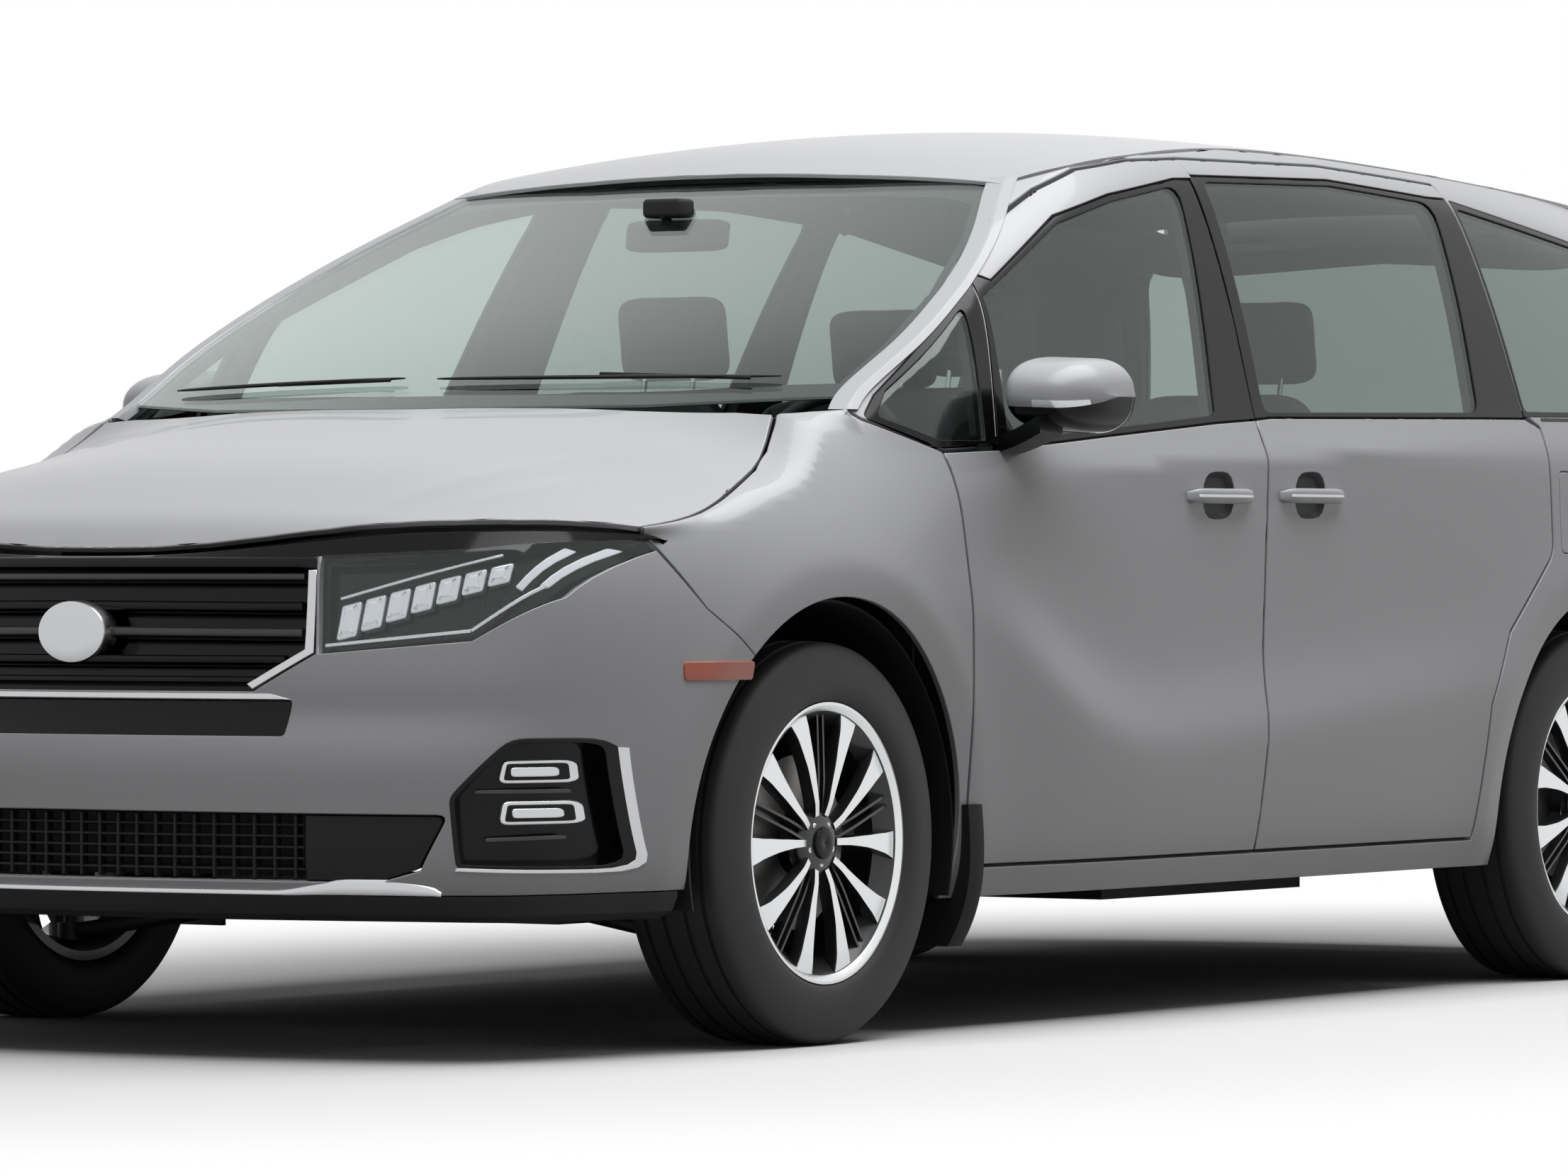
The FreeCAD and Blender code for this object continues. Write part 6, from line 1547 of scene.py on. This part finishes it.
def cushion(centre, size, tilt, crown, channels=(), cross=(), finish="leather"):
    """A padded form: a squared ball, drawn in between its corners, crowned and grooved along its seams."""
    a = np.linspace(-np.pi / 2, np.pi / 2, 64)[:, None]
    b = np.linspace(0, 2 * np.pi, 120, endpoint=False)[None]
    half = np.array(size, float) / 2
    p = softer(np.cos(a), 0.45) * softer(np.cos(b), 0.38)
    q = softer(np.cos(a), 0.45) * softer(np.sin(b), 0.38)
    r = softer(np.sin(a), 0.6) + 0 * b
    bulge = (1 - p ** 2) * (1 - q ** 2)
    x = half[0] * p * (1 - 0.035 * (1 - q ** 2))
    y = half[1] * q * (1 - 0.035 * (1 - p ** 2))
    z = (half[2] - crown) * r + crown * r * bulge
    for at in channels:
        z = z - 7 * np.exp(-np.square((x - at) / 6)) * np.clip(r, 0, 1)
    for at in cross:
        z = z - 6 * np.exp(-np.square((y - at) / 6)) * np.clip(r, 0, 1) * (np.abs(p) < 0.62)
    turn = np.radians(tilt)
    points = np.stack([
        x, y * np.cos(turn) - z * np.sin(turn), y * np.sin(turn) + z * np.cos(turn)], -1) + centre
    return lattice(points[1:-1], finish, round_b=True, caps=True)


def pole(start, stop, radius, finish, count=12):
    """A round bar between two points, its ends closed."""
    start, stop = np.array(start, float), np.array(stop, float)
    along_it = unit(stop - start)
    side = unit(np.cross(along_it, (0.3, 0.2, 1.0)))
    other = np.cross(along_it, side)
    turn = np.linspace(0, 2 * np.pi, count, endpoint=False)
    ring = (np.cos(turn)[:, None] * side + np.sin(turn)[:, None] * other) * radius
    ends = np.stack([start - along_it * radius * 0.3, start, stop, stop + along_it * radius * 0.3])
    size = np.array([0.6, 1, 1, 0.6])[:, None, None]
    return lattice(ends[:, None] + ring[None] * size, finish, round_b=True, caps=True)


BACK_LEAN = 14  # degrees that a seat back leans from the upright
BACK_LONG = 620


def seat_pads(x, y, wide):
    """Cushion, back and head restraint of a seat, with their sewn channels."""
    bolster = wide / 2 - 85
    seams = (-bolster, bolster)
    low = cushion((x, y - 6, 622), (wide, 505, 126), 3, 20, seams, (-60, 60))
    lean = np.radians(BACK_LEAN)
    back_y, back_z = y + (215 + BACK_LONG / 2 * np.sin(lean)), 640 + BACK_LONG / 2 * np.cos(lean)
    back = cushion((x, back_y, back_z), (wide - 30, BACK_LONG, 118), 90 + BACK_LEAN, 20, seams, (-130, 60))
    head = cushion((x, y + 390, 1345), (262, 178, 88), 98, 14, (), (-30, 34))
    return [low, back, head]


def seat_frame(x, y, wide):
    """Pedestal, side trims and the two head restraint posts of a seat."""
    parts = [block((x - wide / 2 + 62, x + wide / 2 - 62), (y - 178, y + 198), (341, 575), "trim", 12)]
    for side in (-1, 1):
        edge = x + side * (wide / 2 - 8)
        parts.append(block((edge - 14, edge + 14), (y - 170, y + 230), (520, 600), "black_plastic", 9))
        parts.append(pole((x + side * 60, y + 352, 1180), (x + side * 60, y + 384, 1300), 6, "chrome"))
    return parts


# Each seat's x, station and width
front_places = [(370, 1080, 520), (-370, 1080, 520)]
rear_places = [(470, 2040, 500), (-470, 2040, 500), (0, 2040, 360)]
for row, places in (("front_seats", front_places), ("rear_seats", rear_places)):
    pads = show(row[:-1] + "_pads", [p for place in places for p in seat_pads(*place)], "body", [row])
    show(row[:-1] + "_frames", [p for place in places for p in seat_frame(*place)], "body")


# %% Dashboard
DASH_HALF = 796
WHEEL_X = 370  # of the steering wheel, with the driver on the left
dash_x = np.linspace(-DASH_HALF, DASH_HALF, 90)[:, None]
dash_profile = softened([
    (266, 1094), (266, 1110, 6), (400, 1158, 60), (560, 1150, 80), (700, 1128, 30), (742, 1062, 30),
    (730, 960, 30), (712, 880, 30), (600, 806, 30), (512, 806, 10), (512, 1040, 10)], 6)
dash_y, dash_z = dash_profile.T
dash_points = np.stack([dash_x + 0 * dash_y, dash_y + 0 * dash_x, dash_z + 0 * dash_x], -1)
hump = 24 * np.exp(-np.square((dash_x - WHEEL_X) / 140)) * np.exp(-np.square((dash_y - 690) / 50))
dash_points[..., 2] += hump * (dash_z > 1090)
dash_points[..., 1] -= 90 * np.clip(np.abs(dash_x) / DASH_HALF, 0, 1) ** 3 * (dash_y > 600)
show("dashboard_pad", [
    lattice(dash_points, "trim", round_b=True, caps=True),
    block((-122, 122), (716, 748), (1004, 1118), "gloss_black", 7),
    block((-118, 118), (736, 756), (1008, 1114), "gloss_black", 4),
    block((-90, 90), (700, 742), (905, 985), "trim", 10),
    block((290, 450), (690, 742), (1060, 1122), "gloss_black", 12)], "body", ["dashboard"])


# %% Steering wheel and inner mirror
RIM_RADIUS = 185.0
RIM_THICK = 14.0
TIP = np.radians(18)
WHEEL_PLACE = (WHEEL_X, 900, 1036)
turn = np.linspace(0, 2 * np.pi, 72, endpoint=False)[:, None]
small = np.linspace(0, 2 * np.pi, 16, endpoint=False)
rim_r = RIM_RADIUS + RIM_THICK * np.cos(small)
rim_points = np.stack([rim_r * np.cos(turn), RIM_THICK * np.sin(small) + 0 * turn, rim_r * np.sin(turn)], -1)


def tilted(points):
    """A steering wheel's part leant forward and put in its place."""
    y = points[..., 1] * np.cos(TIP) + points[..., 2] * np.sin(TIP)
    z = points[..., 2] * np.cos(TIP) - points[..., 1] * np.sin(TIP)
    return np.stack([points[..., 0], y, z], -1) + WHEEL_PLACE


steering_parts = [lattice(tilted(rim_points), "leather", round_a=True, round_b=True)]
hub = cushion((0, 0, 0), (150, 120, 44), 90, 8, finish="trim")
steering_parts.append(dict(hub, verts=tilted(hub["verts"])))
for p, q in (((-178, 0, 8), (-60, 0, 4)), ((178, 0, 8), (60, 0, 4)), ((-14, 0, -50), (-26, 0, -176)),
             ((14, 0, -50), (26, 0, -176))):
    spoke = pole(p, q, 10, "satin")
    steering_parts.append(dict(spoke, verts=tilted(spoke["verts"])))
steering_parts.append(pole((WHEEL_X, 752, 989), (WHEEL_X, 884, 1031), 24, "black_plastic", 24))
show("steering_wheel_rim", steering_parts, "body", ["steering_wheel"])
glass_top = screen(0.0, 1560.0)
inner = cushion((0, glass_top[1] + 78, 1532), (250, 66, 40), 80, 6, finish="gloss_black")
stem = pole((0, glass_top[1] + 62, 1545), (0, glass_top[1] + 26, 1572), 9, "black_plastic")
pod = block((-46, 46), (glass_top[1] + 16, glass_top[1] + 74), (1566, 1604), "black_plastic", 10)
show("inner_mirror", [inner, stem, pod], "body")

# %% [markdown]
# ## Small black parts
# Wipers lie along the foot of the windshield. A flap hangs behind each front wheel, and the sliding
# door's rail is a near-black strip laid on the skin under the rear window: painted shade for its slot.

# %% Wipers, flaps and rails
def on_screen(x, z, off):
    """Points on the windshield, lifted off it."""
    flat = np.stack([np.asarray(x, float), np.asarray(z, float)], 1)
    return screen(*flat.T) + normal(screen, flat) * off


# Each blade's ends in x, their heights, and the x at which its arm is carried
WIPERS = ((-690, -60, 1214, 1228, -90), (20, 700, 1226, 1226, 650))
wiper_parts = []
turn = np.linspace(0, 2 * np.pi, 8, endpoint=False)
ring = np.stack([0 * turn, 8 * np.cos(turn), 4 * np.sin(turn)], 1)
t = np.linspace(0, 1, 40)
thin = (0.35 + 0.65 * np.sin(np.pi * t) ** 0.4)[:, None, None]
for x0, x1, z0, z1, foot in WIPERS:
    middle = on_screen(x0 + (x1 - x0) * t, z0 + (z1 - z0) * t, 7)
    wiper_parts.append(lattice(middle[:, None] + ring[None] * thin, "black_plastic", round_b=True, caps=True))
    arm = on_screen(np.array([x0 + 0.5 * (x1 - x0), foot]), np.array([z0 + 5, z1 - 4]), 8)
    wiper_parts.append(pole(arm[0], arm[1], 4, "black_plastic"))
show("wipers", wiper_parts, "body")

FLAP_OUT, FLAP_IN = 985, 780.0  # half widths between which a flap hangs
FLAP_TOP, FLAP_LONG = 430, 268
down = np.linspace(0, 1, 24)
flap_edge = FLAP_OUT - 60 * down ** 3
flap_y = 452 + 22 * np.sin(down * np.pi * 0.5)
flap_in = np.full(24, FLAP_IN)
sheet_x = np.stack([flap_edge, flap_edge - 6, flap_in, flap_in, flap_edge - 6, flap_edge], 1)
sheet_y = flap_y[:, None] + np.array([20, 0, -4, 8, 44, 40])
sheet_z = (FLAP_TOP - FLAP_LONG * down)[:, None] + np.zeros(6)
flap = lattice(np.stack([sheet_x, sheet_y, sheet_z], -1), "black_plastic", round_b=True, caps=True)
# A near-black strip laid on the skin: painted shade for the rail's slot
rail = plate(skin, from_side([(2762, 1181, 4), (3420, 1188, 4), (3420, 1195, 4), (2762, 1189, 4)]),
             step=24, top=0.8, depth=5, edge=1, finish="gasket")
show("flaps_and_rails", both([flap, rail]), "body")

# %% Walls of the engine bay
up = np.linspace(0, 1, 16)[:, None]
along, out = np.array([(-440, 0), (440, 0), (440, 6), (-440, 6)], float).T
bay_points = np.stack([
    500 + out + 30 * up ** 2, along * (1 - 0.25 * up ** 2), 560 + 430 * up + 0 * along], -1)
bay = lattice(bay_points, "underseal", round_b=True, caps=True)
show("engine_bay_sides", both([bay]), "body")

# %% [markdown]
# ## Studio
# A car is photographed under one huge soft light, because its paint shows whatever is round it. Here a
# wide panel above does that work, over a matt floor that runs out into the white of the background.

# %% Stage and camera
def lamp(name, place, target, wide, high, power):
    """A rectangular area light aimed at a point."""
    data = bpy.data.lights.new(name, "AREA")
    data.shape = "RECTANGLE"
    data.size = wide
    data.size_y = high
    data.energy = power
    light = bpy.data.objects.new(name, data)
    bpy.context.scene.collection.objects.link(light)
    light.location = place
    light.rotation_euler = (Vector(target) - Vector(place)).to_track_quat("-Z", "Y").to_euler()


def seen_directly(tree):
    """1 for rays from the camera, a mirror or a pane, and 0 for those that carry diffuse light."""
    path = tree.nodes.new("ShaderNodeLightPath")
    first = tree.nodes.new("ShaderNodeMath")
    first.operation = "MAXIMUM"
    tree.links.new(path.outputs["Is Camera Ray"], first.inputs[0])
    tree.links.new(path.outputs["Is Glossy Ray"], first.inputs[1])
    second = tree.nodes.new("ShaderNodeMath")
    second.operation = "MAXIMUM"
    tree.links.new(first.outputs["Value"], second.inputs[0])
    tree.links.new(path.outputs["Is Transmission Ray"], second.inputs[1])
    return second.outputs["Value"]


def backdrop(name, pale, dim):
    """A floor, matt round the car and plain white further out, that throws little light back up."""
    material = bpy.data.materials.new(name)
    material.use_nodes = True
    tree = material.node_tree
    shader = tree.nodes["Principled BSDF"]
    shader.inputs["Roughness"].default_value = 0.9
    shader.inputs["Specular IOR Level"].default_value = 0.0
    direct = seen_directly(tree)
    choice = tree.nodes.new("ShaderNodeMapRange")
    choice.inputs["To Min"].default_value = dim
    choice.inputs["To Max"].default_value = pale
    tree.links.new(direct, choice.inputs["Value"])
    tree.links.new(choice.outputs["Result"], shader.inputs["Base Color"])
    white = tree.nodes.new("ShaderNodeEmission")
    tree.links.new(direct, white.inputs["Strength"])
    place = tree.nodes.new("ShaderNodeTexCoord")
    squash = tree.nodes.new("ShaderNodeVectorMath")
    squash.operation = "MULTIPLY"
    squash.inputs[1].default_value = (1.0, 0.6, 0.0)
    tree.links.new(place.outputs["Object"], squash.inputs[0])
    far = tree.nodes.new("ShaderNodeVectorMath")
    far.operation = "LENGTH"
    tree.links.new(squash.outputs["Vector"], far.inputs[0])
    fade = tree.nodes.new("ShaderNodeMapRange")
    fade.interpolation_type = "SMOOTHSTEP"
    fade.inputs["From Min"].default_value = 1.6
    fade.inputs["From Max"].default_value = 3.4
    tree.links.new(far.outputs["Value"], fade.inputs["Value"])
    mix = tree.nodes.new("ShaderNodeMixShader")
    tree.links.new(fade.outputs["Result"], mix.inputs["Fac"])
    tree.links.new(shader.outputs["BSDF"], mix.inputs[1])
    tree.links.new(white.outputs["Emission"], mix.inputs[2])
    tree.links.new(mix.outputs["Shader"], tree.nodes["Material Output"].inputs["Surface"])
    return material


FLOOR_HALF = 60.0
floor_mesh = bpy.data.meshes.new("floor")
floor_corners = [(x * FLOOR_HALF, y * FLOOR_HALF, 0) for x, y in ((-1, -1), (1, -1), (1, 1), (-1, 1))]
floor_mesh.from_pydata(floor_corners, [], [(0, 1, 2, 3)])
floor = bpy.data.objects.new("floor", floor_mesh)
bpy.context.scene.collection.objects.link(floor)
floor_mesh.materials.append(backdrop("floor_white", 0.92, 0.12))

world = bpy.data.worlds.new("studio")
bpy.context.scene.world = world
world.use_nodes = True
sky = world.node_tree
sky.nodes["Background"].inputs["Color"].default_value = (1, 1, 1, 1)
level = sky.nodes.new("ShaderNodeMapRange")
level.inputs["To Min"].default_value = 0.10
level.inputs["To Max"].default_value = 1.0
sky.links.new(seen_directly(sky), level.inputs["Value"])
sky.links.new(level.outputs["Result"], sky.nodes["Background"].inputs["Strength"])

lamp("overhead", (2.0, -1.0, 6.0), (2.0, -1.0, 0.0), 4.6, 9.5, 440)

scene = bpy.context.scene
scene.view_settings.view_transform = "Standard"
camera_data = bpy.data.cameras.new("camera")
camera_data.sensor_width = 36.0
camera_data.lens = 191.9  # a long lens, fitted to the photograph's perspective
camera = bpy.data.objects.new("camera", camera_data)
scene.collection.objects.link(camera)
camera.location = (9.253, -14.393, 0.871)
aim = Vector((0.8626, -1.561, 0.8363))
camera.rotation_euler = (aim - camera.location).to_track_quat("-Z", "Y").to_euler()
scene.camera = camera

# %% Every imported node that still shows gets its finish
cad_finish = {
    "engine": "aluminium", "exhaust": "cast_steel", "front_subframe": "cast_steel", "rear_axle": "cast_steel",
    "knuckle_left": "cast_steel", "knuckle_right": "cast_steel", "underbody": "underseal",
    "fuel_tank": "underseal", "wheel_liners": "black_plastic", "cowl": "black_plastic",
}
for name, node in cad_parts.items():
    node.data.materials.clear()
    node.data.materials.append(materials[cad_finish.get(name, "black_plastic")])
